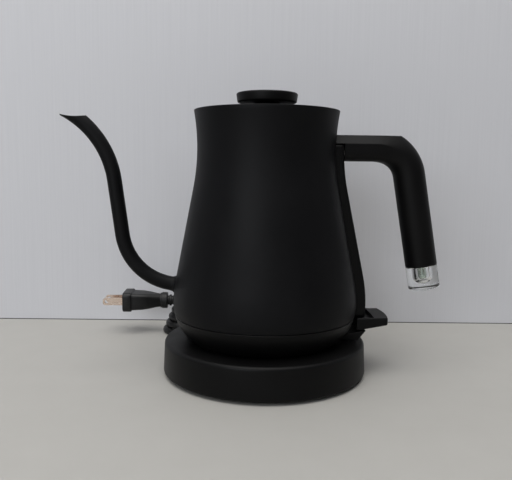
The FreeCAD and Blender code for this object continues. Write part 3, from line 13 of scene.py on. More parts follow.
import bpy
from mathutils import Matrix, Vector


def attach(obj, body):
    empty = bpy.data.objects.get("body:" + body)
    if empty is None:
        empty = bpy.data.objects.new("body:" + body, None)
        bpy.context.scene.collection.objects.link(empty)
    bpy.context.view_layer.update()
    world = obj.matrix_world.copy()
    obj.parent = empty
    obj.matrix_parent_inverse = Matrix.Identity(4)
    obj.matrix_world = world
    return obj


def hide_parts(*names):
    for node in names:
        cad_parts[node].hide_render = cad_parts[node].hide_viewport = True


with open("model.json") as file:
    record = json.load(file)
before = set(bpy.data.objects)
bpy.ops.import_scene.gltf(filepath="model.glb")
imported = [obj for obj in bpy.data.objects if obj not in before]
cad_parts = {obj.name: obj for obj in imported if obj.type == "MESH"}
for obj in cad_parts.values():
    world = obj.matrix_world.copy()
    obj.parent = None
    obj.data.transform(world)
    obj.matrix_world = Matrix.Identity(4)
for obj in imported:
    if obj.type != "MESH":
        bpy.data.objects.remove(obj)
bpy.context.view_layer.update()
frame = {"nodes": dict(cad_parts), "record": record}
NODES = frame["nodes"]
MM = 0.001

# %% [markdown]
# ## The camera
# The picture was taken from in front of the kettle, a little to the spout's side and just below the rim, so
# the lid is seen edge on and the base's top as a thin ellipse. A camera could be aimed by a constraint, but
# the eye point, the aim and the lens come from fitting the known ellipses of the base and the rim, so they
# are set as they were found: turned about the upright axis first, then tipped down, then rolled a little,
# as a hand-held camera is.

# %% Place the camera
EYE = Vector((-23.9, -427.5, 142.9)) * MM
HEADING = math.radians(2.32)
PITCH = math.radians(6.62)
ROLL = math.radians(0.61)
FOCAL_LENGTH = 43.22
SENSOR_WIDTH = 36
NEAREST_SEEN = 0.01

heading = Matrix.Rotation(-HEADING, 4, "Z")
aim = heading @ Matrix.Rotation(math.pi / 2 - PITCH, 4, "X") @ Matrix.Rotation(ROLL, 4, "Z")
bpy.ops.object.camera_add(location=EYE, rotation=aim.to_euler())
camera = bpy.context.object
camera.name = "photo_camera"
camera.data.lens = FOCAL_LENGTH
camera.data.sensor_width = SENSOR_WIDTH
camera.data.clip_start = NEAREST_SEEN
bpy.context.scene.camera = camera
print("camera at", [round(v / MM, 1) for v in EYE], "mm, lens", FOCAL_LENGTH, "mm")

# %% [markdown]
# ## Finishes
# Everything that shows is black, so the finishes have to differ in grain, gloss and sheen instead of
# colour. The body, spout and lid have a baked powder coat, which is matte with a fine orange-peel grain.
# The mouldings are a little smoother, the lead is soft vinyl, and inside there are steel, aluminium, brass
# and dark grey plastic. Three effects come back in many of them: the skin's grain, a film of dust on what
# faces up, and the polish that handling leaves on corners. They could be built again in each material, but
# as node groups they are built once, and each material only sets their values. Object coordinates keep the
# patterns still on the piece.

# %% Helpers for node trees


def feed(tree, value, socket):
    """Link a socket, or set it where the value is plain."""
    if isinstance(value, bpy.types.NodeSocket):
        tree.links.new(value, socket)
    else:
        socket.default_value = value


def add_node(tree, kind, inputs=(), **settings):
    """Add a node with its settings, and feed its inputs by name or number."""
    node = tree.nodes.new(kind)
    for field, value in settings.items():
        setattr(node, field, value)
    for name, value in dict(inputs).items():
        feed(tree, value, node.inputs[name])
    return node


def object_place(tree):
    """Object coordinates, which stay on the piece when it moves."""
    return tree.nodes.new("ShaderNodeTexCoord").outputs["Object"]


def stretched_place(tree, stretch):
    """Object coordinates, scaled along each axis."""
    inputs = {"Vector": object_place(tree), "Scale": stretch}
    return add_node(tree, "ShaderNodeMapping", inputs).outputs["Vector"]


# %% Helpers for values and colours
NOISE_RANGE = (0.3, 0.7)


def calculate(tree, operation, first, second=0.0):
    """One step of arithmetic on sockets or plain values."""
    return add_node(tree, "ShaderNodeMath", {0: first, 1: second}, operation=operation).outputs[0]


def spread(tree, value, low, high, to_low=0.0, to_high=1.0):
    """Stretch a range of values to another, clamped at its ends."""
    names = ("Value", "From Min", "From Max", "To Min", "To Max")
    node = add_node(tree, "ShaderNodeMapRange", dict(zip(names, (value, low, high, to_low, to_high))))
    return node.outputs["Result"]


def mixed(tree, share, first, second):
    """Blend two colours."""
    return add_node(tree, "ShaderNodeMix", {0: share, 6: first, 7: second}, data_type="RGBA").outputs[2]


def noise(tree, place, scale, detail=3.0, roughness=0.5):
    """A cloudy value, which lies in NOISE_RANGE nearly everywhere."""
    inputs = {"Vector": place, "Scale": scale, "Detail": detail, "Roughness": roughness}
    return add_node(tree, "ShaderNodeTexNoise", inputs).outputs["Fac"]


# %% Helpers for node groups


def new_group(name, inputs, outputs):
    """An empty node group with its named sockets, and the nodes that hold them."""
    group = bpy.data.node_groups.new(name, "ShaderNodeTree")
    sockets = group.interface
    for socket, value in inputs.items():
        entry = sockets.new_socket(name=socket, in_out="INPUT", socket_type="NodeSocketFloat")
        entry.default_value = value
    for socket in outputs:
        sockets.new_socket(name=socket, in_out="OUTPUT", socket_type="NodeSocketFloat")
    start = group.nodes.new("NodeGroupInput")
    end = group.nodes.new("NodeGroupOutput")
    return group, start.outputs, end.inputs, object_place(group)


def use_group(tree, group, **inputs):
    """Place a group in a material with its own values."""
    node = tree.nodes.new("ShaderNodeGroup")
    node.node_tree = group
    for name, value in inputs.items():
        feed(tree, value, node.inputs[name])
    return node.outputs


# %% Grain, dust and polish
FINE_SCALE = 1.7
FINE_HEIGHT = 0.5
PEBBLE_HEIGHT = 0.7
PEBBLE_SMOOTHNESS = 0.6


def make_grain():
    """Fine pebbles for the bump, and a slow cloud for the colour and the gloss."""
    group, start, end, place = new_group("skin_grain", {"Scale": 1500.0, "Cloud": 25.0}, ["Height", "Tone"])
    inputs = {"Vector": place, "Scale": start["Scale"], "Smoothness": PEBBLE_SMOOTHNESS}
    pebbles = add_node(group, "ShaderNodeTexVoronoi", inputs, feature="SMOOTH_F1").outputs["Distance"]
    fine = noise(group, place, calculate(group, "MULTIPLY", start["Scale"], FINE_SCALE), detail=2.0)
    coarse_height = calculate(group, "MULTIPLY", pebbles, PEBBLE_HEIGHT)
    fine_height = calculate(group, "MULTIPLY", fine, FINE_HEIGHT)
    group.links.new(calculate(group, "ADD", coarse_height, fine_height), end["Height"])
    cloud = noise(group, place, start["Cloud"], detail=4.0, roughness=0.6)
    group.links.new(spread(group, cloud, *NOISE_RANGE), end["Tone"])
    return group


def make_dust():
    """A thin film on faces that look up, broken by specks."""
    group, start, end, place = new_group("dust_film", {"Amount": 0.1}, ["Mask"])
    normal = group.nodes.new("ShaderNodeNewGeometry").outputs["Normal"]
    upward = add_node(group, "ShaderNodeSeparateXYZ", {"Vector": normal}).outputs["Z"]
    facing = spread(group, upward, low=0.35, high=1.0)
    cloud = noise(group, place, scale=60.0, detail=5.0, roughness=0.7)
    film = spread(group, cloud, low=0.3, high=0.75, to_low=0.35, to_high=1.0)
    specks = spread(group, noise(group, place, scale=1900.0, detail=1.0), low=0.68, high=0.74)
    cover = calculate(group, "ADD", film, specks)
    mask = calculate(group, "MULTIPLY", calculate(group, "MULTIPLY", facing, cover), start["Amount"])
    group.links.new(mask, end["Mask"])
    return group


def make_polish():
    """Corners and ridges, where handling rubs the skin smoother."""
    group, start, end, place = new_group("corner_polish", {"Amount": 0.5}, ["Mask"])
    pointed = group.nodes.new("ShaderNodeNewGeometry").outputs["Pointiness"]
    ridge = spread(group, pointed, low=0.53, high=0.62)
    cloud = noise(group, place, scale=140.0)
    broken = spread(group, cloud, low=0.35, high=0.6, to_low=0.3, to_high=1.0)
    mask = calculate(group, "MULTIPLY", calculate(group, "MULTIPLY", ridge, broken), start["Amount"])
    group.links.new(mask, end["Mask"])
    return group


GRAIN = make_grain()
DUST = make_dust()
POLISH = make_polish()
print("node groups:", GRAIN.name, DUST.name, POLISH.name)

# %% [markdown]
# ### Skins
# Coat, plastic, rubber and vinyl are all an opaque skin over grain. Each could be a material made by hand,
# but they differ only in colours, gloss and grain, so one function builds them from a table. The roughness
# follows the cloud, falls on polished corners and rises under dust.

# %% A function for skins
DUST_COLOUR = (0.16, 0.155, 0.145, 1)
DUST_ROUGHENS = 0.3
RUBBING_SMOOTHS = 0.15
SKIN_BUMP = 0.5


def new_finish(name):
    """A new material, with its node tree and its shader."""
    material = bpy.data.materials.new(name)
    material.use_nodes = True
    tree = material.node_tree
    return material, tree, tree.nodes["Principled BSDF"]


def raise_grain(tree, shader, height, strength, depth):
    """Let a height bend the normals; depth is how deep it goes, in metres."""
    bump = add_node(tree, "ShaderNodeBump", {"Height": height, "Strength": strength, "Distance": depth})
    feed(tree, bump.outputs["Normal"], shader.inputs["Normal"])


def skin(name, dark, light, gloss, scale, depth, dust, polish, specular=0.5):
    """An opaque moulded or coated surface. Gloss is its roughness, low and high; depth is its grain's."""
    material, tree, shader = new_finish(name)
    grain = use_group(tree, GRAIN, Scale=scale)
    film = use_group(tree, DUST, Amount=dust)["Mask"]
    rubbed = use_group(tree, POLISH, Amount=polish)["Mask"]
    colour = mixed(tree, grain["Tone"], (*dark, 1), (*light, 1))
    feed(tree, mixed(tree, film, colour, DUST_COLOUR), shader.inputs["Base Color"])
    rough = spread(tree, grain["Tone"], 0.0, 1.0, *gloss)
    rough = calculate(tree, "SUBTRACT", rough, calculate(tree, "MULTIPLY", rubbed, RUBBING_SMOOTHS))
    rough = calculate(tree, "ADD", rough, calculate(tree, "MULTIPLY", film, DUST_ROUGHENS))
    feed(tree, rough, shader.inputs["Roughness"])
    shader.inputs["Specular IOR Level"].default_value = specular
    raise_grain(tree, shader, grain["Height"], SKIN_BUMP, depth)
    return material


# %% Make the skins
SKINS = {
    "black_coat": {
        "dark": (0.0026, 0.0027, 0.0033), "light": (0.0040, 0.0041, 0.0048), "gloss": (0.46, 0.56),
        "scale": 1500.0, "depth": 0.00005, "dust": 0.006, "polish": 0.5, "specular": 0.13,
    },
    "black_plastic": {
        "dark": (0.0022, 0.0022, 0.0024), "light": (0.0034, 0.0034, 0.0036), "gloss": (0.40, 0.50),
        "scale": 2400.0, "depth": 0.00004, "dust": 0.007, "polish": 0.6, "specular": 0.14,
    },
    "inner_plastic": {
        "dark": (0.046, 0.045, 0.043), "light": (0.066, 0.065, 0.062), "gloss": (0.50, 0.62),
        "scale": 1200.0, "depth": 0.00006, "dust": 0.02, "polish": 0.2,
    },
    "black_rubber": {
        "dark": (0.014, 0.014, 0.014), "light": (0.022, 0.022, 0.021), "gloss": (0.70, 0.82),
        "scale": 1800.0, "depth": 0.00006, "dust": 0.03, "polish": 0.1,
    },
    "cord_jacket": {
        "dark": (0.0036, 0.0036, 0.0040), "light": (0.0062, 0.0062, 0.0066), "gloss": (0.36, 0.50),
        "scale": 900.0, "depth": 0.00005, "dust": 0.025, "polish": 0.3, "specular": 0.35,
    },
}
FINISH = {name: skin(name, **look) for name, look in SKINS.items()}
print("skins:", *FINISH)

# %% [markdown]
# ### Metals
# Bare metal shows the way it was made. Spun and drawn pieces have fine lines round or along them. A wave
# texture would draw them too evenly, so the lines are noise that a Mapping node stretches, and it drives
# colour, gloss and bump together.

# %% Make the metals
METAL_CLOUD = 60.0
METAL_POLISH = 0.6
METAL_RUBBING = 0.1
METAL_BUMP = 0.4


def tint(tree, shader, mask, dark, light):
    """Let a mask blend the base colour between two tones."""
    feed(tree, mixed(tree, mask, (*dark, 1), (*light, 1)), shader.inputs["Base Color"])


def metal(name, dark, light, gloss, stretch, depth):
    """Bare metal with drawn or spun lines."""
    material, tree, shader = new_finish(name)
    streak = noise(tree, stretched_place(tree, stretch), scale=1.0, detail=4.0, roughness=0.6)
    cloud = use_group(tree, GRAIN, Cloud=METAL_CLOUD)["Tone"]
    rubbed = use_group(tree, POLISH, Amount=METAL_POLISH)["Mask"]
    tint(tree, shader, calculate(tree, "MULTIPLY", calculate(tree, "ADD", streak, cloud), 0.5), dark, light)
    rough = spread(tree, streak, *NOISE_RANGE, *gloss)
    rough = calculate(tree, "SUBTRACT", rough, calculate(tree, "MULTIPLY", rubbed, METAL_RUBBING))
    feed(tree, rough, shader.inputs["Roughness"])
    shader.inputs["Metallic"].default_value = 1.0
    raise_grain(tree, shader, streak, METAL_BUMP, depth)
    return material


METALS = {
    "bare_steel": {
        "dark": (0.48, 0.47, 0.45), "light": (0.66, 0.65, 0.63), "gloss": (0.22, 0.38),
        "stretch": (90, 90, 2200), "depth": 0.00003,
    },
    "bare_aluminium": {
        "dark": (0.68, 0.68, 0.69), "light": (0.84, 0.84, 0.85), "gloss": (0.34, 0.5),
        "stretch": (700, 700, 700), "depth": 0.00004,
    },
    "brass": {
        "dark": (0.66, 0.52, 0.42), "light": (0.86, 0.74, 0.66), "gloss": (0.2, 0.36),
        "stretch": (200, 1800, 1800), "depth": 0.00003,
    },
}
FINISH.update({name: metal(name, **look) for name, look in METALS.items()})
print("metals:", *METALS)

# %% [markdown]
# ### Clear pieces and the sleeve
# Acrylic and glass take their look from what stands behind them. A plain glass shader looks too perfect, so
# faint flow lines and a slightly uneven gloss are added. The lamp's lead wears a woven sleeve: two slanting
# waves, of which the higher one shows, as one thread lies over the other.

# %% Make the clear pieces
CLEAR_BUMP = 0.15
CLEAR_DEPTH = 0.0002


def clear(name, tone, deep, index, gloss):
    """Clear acrylic or glass with faint flow lines."""
    material, tree, shader = new_finish(name)
    place = object_place(tree)
    flow = noise(tree, place, scale=90.0, detail=2.0)
    tint(tree, shader, flow, tone, deep)
    uneven = noise(tree, place, scale=300.0)
    feed(tree, spread(tree, uneven, *NOISE_RANGE, *gloss), shader.inputs["Roughness"])
    shader.inputs["Transmission Weight"].default_value = 1.0
    shader.inputs["IOR"].default_value = index
    raise_grain(tree, shader, flow, CLEAR_BUMP, CLEAR_DEPTH)
    return material


CLEAR = {
    "clear_acrylic": {
        "tone": (0.97, 0.98, 0.98), "deep": (0.93, 0.95, 0.95), "index": 1.49, "gloss": (0.01, 0.05),
    },
    "lamp_glass": {
        "tone": (0.80, 0.86, 0.80), "deep": (0.70, 0.78, 0.71), "index": 1.5, "gloss": (0.02, 0.1),
    },
}
FINISH.update({name: clear(name, **look) for name, look in CLEAR.items()})
print("clear:", *CLEAR)

# %% Make the sleeve
THREAD_LEAN = 0.7
THREAD_SCALE = 700.0
THREAD_BUMP = 0.6
THREAD_DEPTH = 0.0002


def woven(name, dark, light):
    """Two sets of threads that cross."""
    material, tree, shader = new_finish(name)
    place = object_place(tree)
    threads = []
    for lean in (THREAD_LEAN, -THREAD_LEAN):
        turned = add_node(tree, "ShaderNodeMapping", {"Vector": place, "Rotation": (0, lean, 0)})
        inputs = {"Vector": turned.outputs["Vector"], "Scale": THREAD_SCALE, "Distortion": 1.0}
        threads.append(add_node(tree, "ShaderNodeTexWave", inputs).outputs["Fac"])
    weave = calculate(tree, "MAXIMUM", *threads)
    tint(tree, shader, weave, dark, light)
    feed(tree, spread(tree, weave, 0.0, 1.0, to_low=0.9, to_high=0.7), shader.inputs["Roughness"])
    raise_grain(tree, shader, weave, THREAD_BUMP, THREAD_DEPTH)
    return material


FINISH["lead_sleeve"] = woven("lead_sleeve", (0.38, 0.36, 0.32), (0.60, 0.57, 0.51))
print("finishes:", len(FINISH))

# %% [markdown]
# ### Finishes on the CAD pieces
# The record names a finish for every solid. Setting them by hand would be 43 chances to slip, so a loop
# reads the record and fills each node's slots. The meshes themselves stay as they are.

# %% Dress the CAD nodes
for part in frame["record"]["subparts"]:
    node = NODES[part["node"]]
    for holder in node.material_slots:
        holder.material = FINISH[part["material_slot"]]
print("dressed:", len(NODES), "nodes")

# %% [markdown]
# ## The mains lead
# The lead is 1.3 m of round 5.5 mm cord. It leaves the gland at the back of the base, drops to the table
# and runs behind the kettle into a tied hank, with the plug lying on top. It could be simulated, but a hank
# is laid by hand, so one NURBS spline carries it all: its control points are the corners of the route, and
# the curve rounds them. The hank is a loop of loops, so functions work out its corners: four round each
# fold, and four along each run, which is drawn in at the tie.

# %% Work out the hank's corners
CORD_RADIUS = 2.75
HANK_Y = 103.0
FOLD_RADIUS = 16.5
FOLD_CORNERS = 4
FOLD_STEP = math.pi / FOLD_CORNERS
HANK_LEFT = -83.0
FOLDS_APART = 85.2
FIRST_FOLD_X = HANK_LEFT + CORD_RADIUS + FOLD_RADIUS
RIGHT_FOLD_X = FIRST_FOLD_X + FOLDS_APART
WAIST_X = (FIRST_FOLD_X + RIGHT_FOLD_X) / 2
WAIST_HALF = 3.3
LAYER_STEP = 5.75
LAYER_SETBACK = 2.4
LAYERS = 4
TIE_LIFT = 1.0
PLUG_TAIL = Vector((-52.0, HANK_Y, 28.0))


def fold_corners(x, z, side):
    """Corners round a fold at the left end (-1) or the right end (1) of the hank."""
    reach = FOLD_RADIUS / math.cos(FOLD_STEP / 2)
    angles = [FOLD_STEP * (i + 0.5) for i in range(FOLD_CORNERS)]
    return [Vector((x + side * reach * math.sin(a), HANK_Y - side * reach * math.cos(a), z)) for a in angles]


def run_corners(start, waist, end, way):
    """Corners of a run that leaves a fold, is drawn in at the waist and reaches the next fold."""
    corners = []
    for first, last in ((start, waist), (waist, end)):
        length = abs(last.x - first.x)
        aside = Vector((0, last.y - first.y, last.z - first.z)).length
        step = Vector((way * (length ** 2 + aside ** 2) / (4 * length), 0, 0))
        corners += [first + step, last - step]
    return corners


def hank_corners():
    """Corners of all the layers, from the first fold on the table up to the plug's tail."""
    corners = []
    for layer in range(LAYERS):
        z = CORD_RADIUS + LAYER_STEP * layer
        left = FIRST_FOLD_X + LAYER_SETBACK * layer
        front = Vector((WAIST_X, HANK_Y - WAIST_HALF, z + TIE_LIFT))
        rear = Vector((WAIST_X, HANK_Y + WAIST_HALF, z + LAYER_STEP / 2 + TIE_LIFT))
        near_left = Vector((left, HANK_Y - FOLD_RADIUS, z))
        near_right = Vector((RIGHT_FOLD_X, HANK_Y - FOLD_RADIUS, z))
        far_right = Vector((RIGHT_FOLD_X, HANK_Y + FOLD_RADIUS, z))
        far_left = Vector((left + LAYER_SETBACK, HANK_Y + FOLD_RADIUS, z + LAYER_STEP))
        if layer == LAYERS - 1:
            far_left = PLUG_TAIL + Vector((2 * CORD_RADIUS, 0, 0))
        corners += fold_corners(left, z, -1)
        corners += run_corners(near_left, front, near_right, 1)
        corners += fold_corners(RIGHT_FOLD_X, z, 1)
        corners += run_corners(far_right, rear, far_left, -1)
    return corners


print("hank corners:", len(hank_corners()))

# %% Draw the lead
GLAND_END = Vector((64.13, 64.13, 11.0))
LEAD_POINTS = [
    (76.6, 76.6, 11.0),
    (82.0, 91.6, 8.2),
    (79.3, 107.2, 5.4),
    (68.9, 119.8, 3.4),
    (53.2, 126.4, 2.75),
    (24.0, 127.4, 2.75),
    (-4.0, 124.5, 2.75),
    (-34.0, 119.5, 2.75),
]


def draw_lead():
    """One spline from the gland through the hank to the plug."""
    route = [GLAND_END, *[Vector(p) for p in LEAD_POINTS], *hank_corners(), PLUG_TAIL]
    curve = bpy.data.curves.new("mains_lead", "CURVE")
    curve.dimensions = "3D"
    spline = curve.splines.new("NURBS")
    spline.points.add(len(route) - 1)
    for point, spot in zip(spline.points, route):
        point.co = (*(spot * MM), 1)
        point.radius = CORD_RADIUS * MM  # it counts in the curve's bounding box, so it holds the true radius
    spline.order_u = 3
    spline.use_endpoint_u = True
    spline.resolution_u = 10
    curve.bevel_depth = 1.0
    curve.bevel_resolution = 6
    curve.use_fill_caps = True
    lead = bpy.data.objects.new("mains_lead", curve)
    bpy.context.scene.collection.objects.link(lead)
    print("lead control points:", len(route))
    return lead


mains_lead = draw_lead()
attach(mains_lead, "base")
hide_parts("cord_lead", "cord_hank")
mains_lead.data.materials.append(FINISH["cord_jacket"])

# %% [markdown]
# ## Tools for modelling
# Nearly every visible piece is either turned, as on a lathe, or wrapped along a path. For a turned piece a
# single vertex is extruded along the profile and the outline is spun about the axis. For a wrapped piece a
# grid is added whose rows are moved onto the sections, and its long edges are merged. Screw and curve
# modifiers could do the same, but with spin and merge every point of the result is known. Operators act on
# all that is selected, so each helper starts by clearing the selection.

# %% Select, trace and close
SMOOTH_ANGLE = 35
MERGE_DISTANCE = 1e-6


def clear_selection():
    """Leave edit mode and deselect everything."""
    active = bpy.context.view_layer.objects.active
    if active and active.mode == "EDIT":
        bpy.ops.object.mode_set(mode="OBJECT")
    bpy.ops.object.select_all(action="DESELECT")


def pick(piece):
    """Select one piece alone and make it the active one."""
    clear_selection()
    piece.select_set(True)
    bpy.context.view_layer.objects.active = piece


def take_up(name):
    """Name the primitive that was just added and open it in edit mode."""
    piece = bpy.context.object
    piece.name = name
    piece.data.name = name
    bpy.ops.object.mode_set(mode="EDIT")
    bpy.ops.mesh.select_all(action="SELECT")
    return piece


def push(step):
    """Extrude what is selected by a step in metres."""
    bpy.ops.mesh.extrude_region_move(TRANSFORM_OT_translate={"value": step})


def trace(name, points):
    """Draw a line of vertices by extruding a single one from point to point."""
    clear_selection()
    bpy.ops.mesh.primitive_plane_add(size=MM)
    piece = take_up(name)
    bpy.ops.mesh.merge(type="CENTER")
    bpy.ops.transform.translate(value=points[0])
    for here, there in zip(points, points[1:]):
        push(there - here)
    return piece


def close_up(piece, smooth_angle=SMOOTH_ANGLE):
    """Merge doubles, turn the faces outwards and shade the piece smooth up to an angle."""
    bpy.ops.mesh.select_all(action="SELECT")
    bpy.ops.mesh.remove_doubles(threshold=MERGE_DISTANCE)
    bpy.ops.mesh.normals_make_consistent(inside=False)
    bpy.ops.object.mode_set(mode="OBJECT")
    bpy.ops.object.shade_smooth_by_angle(angle=math.radians(smooth_angle))
    return piece


# %% Turn, wrap and fill


def arc(x, z, radius, start, end, steps):
    """Points of an arc, in degrees from +X towards +Z."""
    angles = [math.radians(start + (end - start) * i / steps) for i in range(steps + 1)]
    return [(x + radius * math.cos(a), z + radius * math.sin(a)) for a in angles]


def turn(name, profile, steps=160):
    """Turn a closed profile of (radius, height) points about the upright axis."""
    points = [Vector((radius, 0, height)) * MM for radius, height in profile]
    if profile[0][0] > 0 or profile[-1][0] > 0:
        points.append(points[0])
    piece = trace(name, points)
    bpy.ops.mesh.select_all(action="SELECT")
    bpy.ops.mesh.spin(steps=steps, angle=2 * math.pi, center=(0, 0, 0), axis=(0, 0, 1))
    return close_up(piece)


def wrap(name, rings, smooth_angle=SMOOTH_ANGLE):
    """Wrap a grid along rings of points, merge its long edges and close its ends."""
    around = len(rings[0])
    clear_selection()
    bpy.ops.mesh.primitive_grid_add(x_subdivisions=around, y_subdivisions=len(rings) - 1, size=MM)
    corners = bpy.context.object.data.vertices
    for row, ring in enumerate(rings):
        for column in range(around + 1):
            corners[row * (around + 1) + column].co = ring[column % around] * MM
    piece = take_up(name)
    bpy.ops.mesh.remove_doubles(threshold=MERGE_DISTANCE)
    bpy.ops.mesh.select_all(action="DESELECT")
    bpy.ops.mesh.select_mode(type="EDGE")
    bpy.ops.mesh.select_non_manifold()
    bpy.ops.mesh.edge_face_add()
    bpy.ops.mesh.select_mode(type="VERT")
    return close_up(piece, smooth_angle)


def block(name, outline, thickness, axis):
    """Fill an outline and extrude it along an axis."""
    piece = trace(name, [Vector(p) * MM for p in outline])
    bpy.ops.mesh.select_all(action="SELECT")
    bpy.ops.mesh.edge_face_add()
    bpy.ops.mesh.select_all(action="SELECT")
    push(Vector(axis) * thickness * MM)
    return close_up(piece)


# %% Modify, cut and dress


def modify(piece, kind, **settings):
    """Add a modifier, set it and apply it."""
    pick(piece)
    bpy.ops.object.modifier_add(type=kind)
    modifier = piece.modifiers[-1]
    for field, value in settings.items():
        setattr(modifier, field, value)
    bpy.ops.object.modifier_apply(modifier=modifier.name)


def ease_edges(piece, width, segments=3, angle=SMOOTH_ANGLE):
    """Round the edges that are sharper than an angle."""
    limit = math.radians(angle)
    modify(piece, "BEVEL", width=width * MM, segments=segments, limit_method="ANGLE", angle_limit=limit)
    bpy.ops.object.shade_smooth_by_angle(angle=limit)


def cut_away(piece, *tools):
    """Cut other meshes out of a piece and delete them."""
    for tool in tools:
        modify(piece, "BOOLEAN", operation="DIFFERENCE", object=tool, solver="EXACT")
        bpy.data.objects.remove(tool)
    bpy.ops.object.shade_smooth_by_angle(angle=math.radians(SMOOTH_ANGLE))


def dress(piece, body, slot, *nodes):
    """Let a piece ride on its body and stand for its CAD nodes."""
    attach(piece, body)
    piece.data.materials.clear()
    piece.data.materials.append(FINISH[slot])
    if nodes:
        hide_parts(*nodes)
    low = [min(v.co[i] for v in piece.data.vertices) / MM for i in range(3)]
    high = [max(v.co[i] for v in piece.data.vertices) / MM for i in range(3)]
    print(piece.name, [round(b - a, 1) for a, b in zip(low, high)], "mm,", len(piece.data.polygons), "faces")


# %% [markdown]
# ## The vessel
# The body is spun sheet steel with a matte black coat: a round bowl, a long straight flank and a waist that
# flares to the rim. Its side could be a freehand curve, but it is drawn as three arcs and one straight
# line, all tangent, so highlights run down it without a kink. The same curve, set in by the wall, makes the
# inside. The coat turns over the rim and ends under the lid, and a thin lining of bare steel covers the
# rest of the inner side.

# %% Draw the body's side
BELLY_RADIUS = 64.1
BELLY_HEIGHT = 49.0
BELLY_ARC = 88.5
WAIST_RADIUS = 47.6
WAIST_HEIGHT = 157.0
WAIST_ARC = 142.0
BOWL_ARC = 30.0
BOWL_STEPS = 10
BELLY_STEPS = 14
FLANK_STEPS = 8
WAIST_STEPS = 16


def between(first, last, share):
    """A point that lies a share of the way from one point to another."""
    return first[0] + (last[0] - first[0]) * share, first[1] + (last[1] - first[1]) * share


def flank_ends(out_low, out_top):
    """Ends of the straight flank between the belly and the waist, set out from the shell."""
    across = WAIST_RADIUS + WAIST_ARC - (BELLY_RADIUS - BELLY_ARC)
    rise = WAIST_HEIGHT - BELLY_HEIGHT
    low_arc = BELLY_ARC + out_low
    top_arc = WAIST_ARC - out_top
    reach = low_arc + top_arc
    span = across ** 2 + rise ** 2
    along = math.sqrt(span - reach ** 2)
    out_x = (reach * across + along * rise) / span
    out_z = (reach * rise - along * across) / span
    low = (BELLY_RADIUS - BELLY_ARC + low_arc * out_x, BELLY_HEIGHT + low_arc * out_z)
    high = (WAIST_RADIUS + WAIST_ARC - top_arc * out_x, WAIST_HEIGHT - top_arc * out_z)
    return low, high


def arc_angle(height, middle, radius):
    """Where an arc about a middle height passes a height, in degrees."""
    return math.degrees(math.asin((height - middle) / radius))


def side_curve(out_low, out_top, foot, top):
    """The body's side from a height on the bowl up to a height on the waist."""
    low, high = flank_ends(out_low, out_top)
    bowl = BOWL_ARC + out_low
    low_arc = BELLY_ARC + out_low
    top_arc = WAIST_ARC - out_top
    bowl_start = arc_angle(foot, BELLY_HEIGHT, bowl)
    belly_end = arc_angle(low[1], BELLY_HEIGHT, low_arc)
    waist_start = 180 - arc_angle(high[1], WAIST_HEIGHT, top_arc)
    waist_end = 180 - arc_angle(top, WAIST_HEIGHT, top_arc)
    points = arc(BELLY_RADIUS - BOWL_ARC, BELLY_HEIGHT, bowl, bowl_start, 0, BOWL_STEPS)
    points += arc(BELLY_RADIUS - BELLY_ARC, BELLY_HEIGHT, low_arc, 0, belly_end, BELLY_STEPS)[1:]
    points += [between(low, high, i / FLANK_STEPS) for i in range(1, FLANK_STEPS)]
    points += arc(WAIST_RADIUS + WAIST_ARC, WAIST_HEIGHT, top_arc, waist_start, waist_end, WAIST_STEPS)
    return points


print("flank from and to:", [[round(v, 1) for v in end] for end in flank_ends(0, 0)], "mm")

# %% Turn the body
RIM_HEIGHT = 182.0
SEAM_HEIGHT = 42.0
SHELL_WALL = 0.9
RIM_ROUND = 0.35
RIM_STEPS = 4
BODY_STEPS = 192

outside = side_curve(0, 0, SEAM_HEIGHT + RIM_ROUND, RIM_HEIGHT - RIM_ROUND)
inside = side_curve(-SHELL_WALL, -SHELL_WALL, SEAM_HEIGHT, RIM_HEIGHT - RIM_ROUND)
rim_x = outside[-1][0] - RIM_ROUND
seam_x = outside[0][0] - RIM_ROUND
rim_round = arc(rim_x, RIM_HEIGHT - RIM_ROUND, RIM_ROUND, 0, 90, RIM_STEPS)
hem_round = arc(seam_x, SEAM_HEIGHT + RIM_ROUND, RIM_ROUND, -90, 0, RIM_STEPS)
shell = turn("kettle_body", hem_round + outside[1:-1] + rim_round + inside[::-1], BODY_STEPS)
print("rim radius:", round(outside[-1][0], 2), "mm")

# %% Leave the inside bare
LINING_FOOT = 47.6
LINING_BELOW_RIM = 6.0
LINING_HALF = 0.1
lining_top = RIM_HEIGHT - LINING_BELOW_RIM
lining_back = side_curve(LINING_HALF - SHELL_WALL, LINING_HALF - SHELL_WALL, LINING_FOOT, lining_top)
lining_face = side_curve(-LINING_HALF - SHELL_WALL, -LINING_HALF - SHELL_WALL, LINING_FOOT, lining_top)
lining = turn("kettle_lining", lining_back + lining_face[::-1], BODY_STEPS)
print("lining:", len(lining.data.polygons), "faces")

# %% [markdown]
# ## The spout
# The gooseneck is a bent steel tube, 10 mm across, welded to the belly with a small fillet. Its mouth is
# cut in a shallow hollow, which is why the tip looks like a beak from the side. A bevelled curve could make
# the tube, but spinning it keeps both bends true arcs. A ring is extruded along the root, spun round the
# centre of the first bend, extruded up the straight and spun the other way for the second bend. The ends
# are capped while the faces are turned outwards, then opened again. Solidify gives the wall, and a lying
# cylinder cuts the mouth.

# %% Lay out the spout
SPOUT_RADIUS = 5.0
SPOUT_WALL = 0.8
ROOT_RISE = math.radians(9.5)
NECK_LEAN = math.radians(82.5)
END_RISE = math.radians(27.3)
LIP_RISE = math.radians(36)
LOW_BEND = 40.0
HIGH_BEND = 63.0
NECK_STRAIGHT = 37.7
LIP_HOLLOW = 35.5
BEND_START = Vector((-66.3, 0, 62.4))


def along_tube(rise):
    """The tube's direction where it rises by an angle."""
    return Vector((-math.cos(rise), 0, math.sin(rise)))


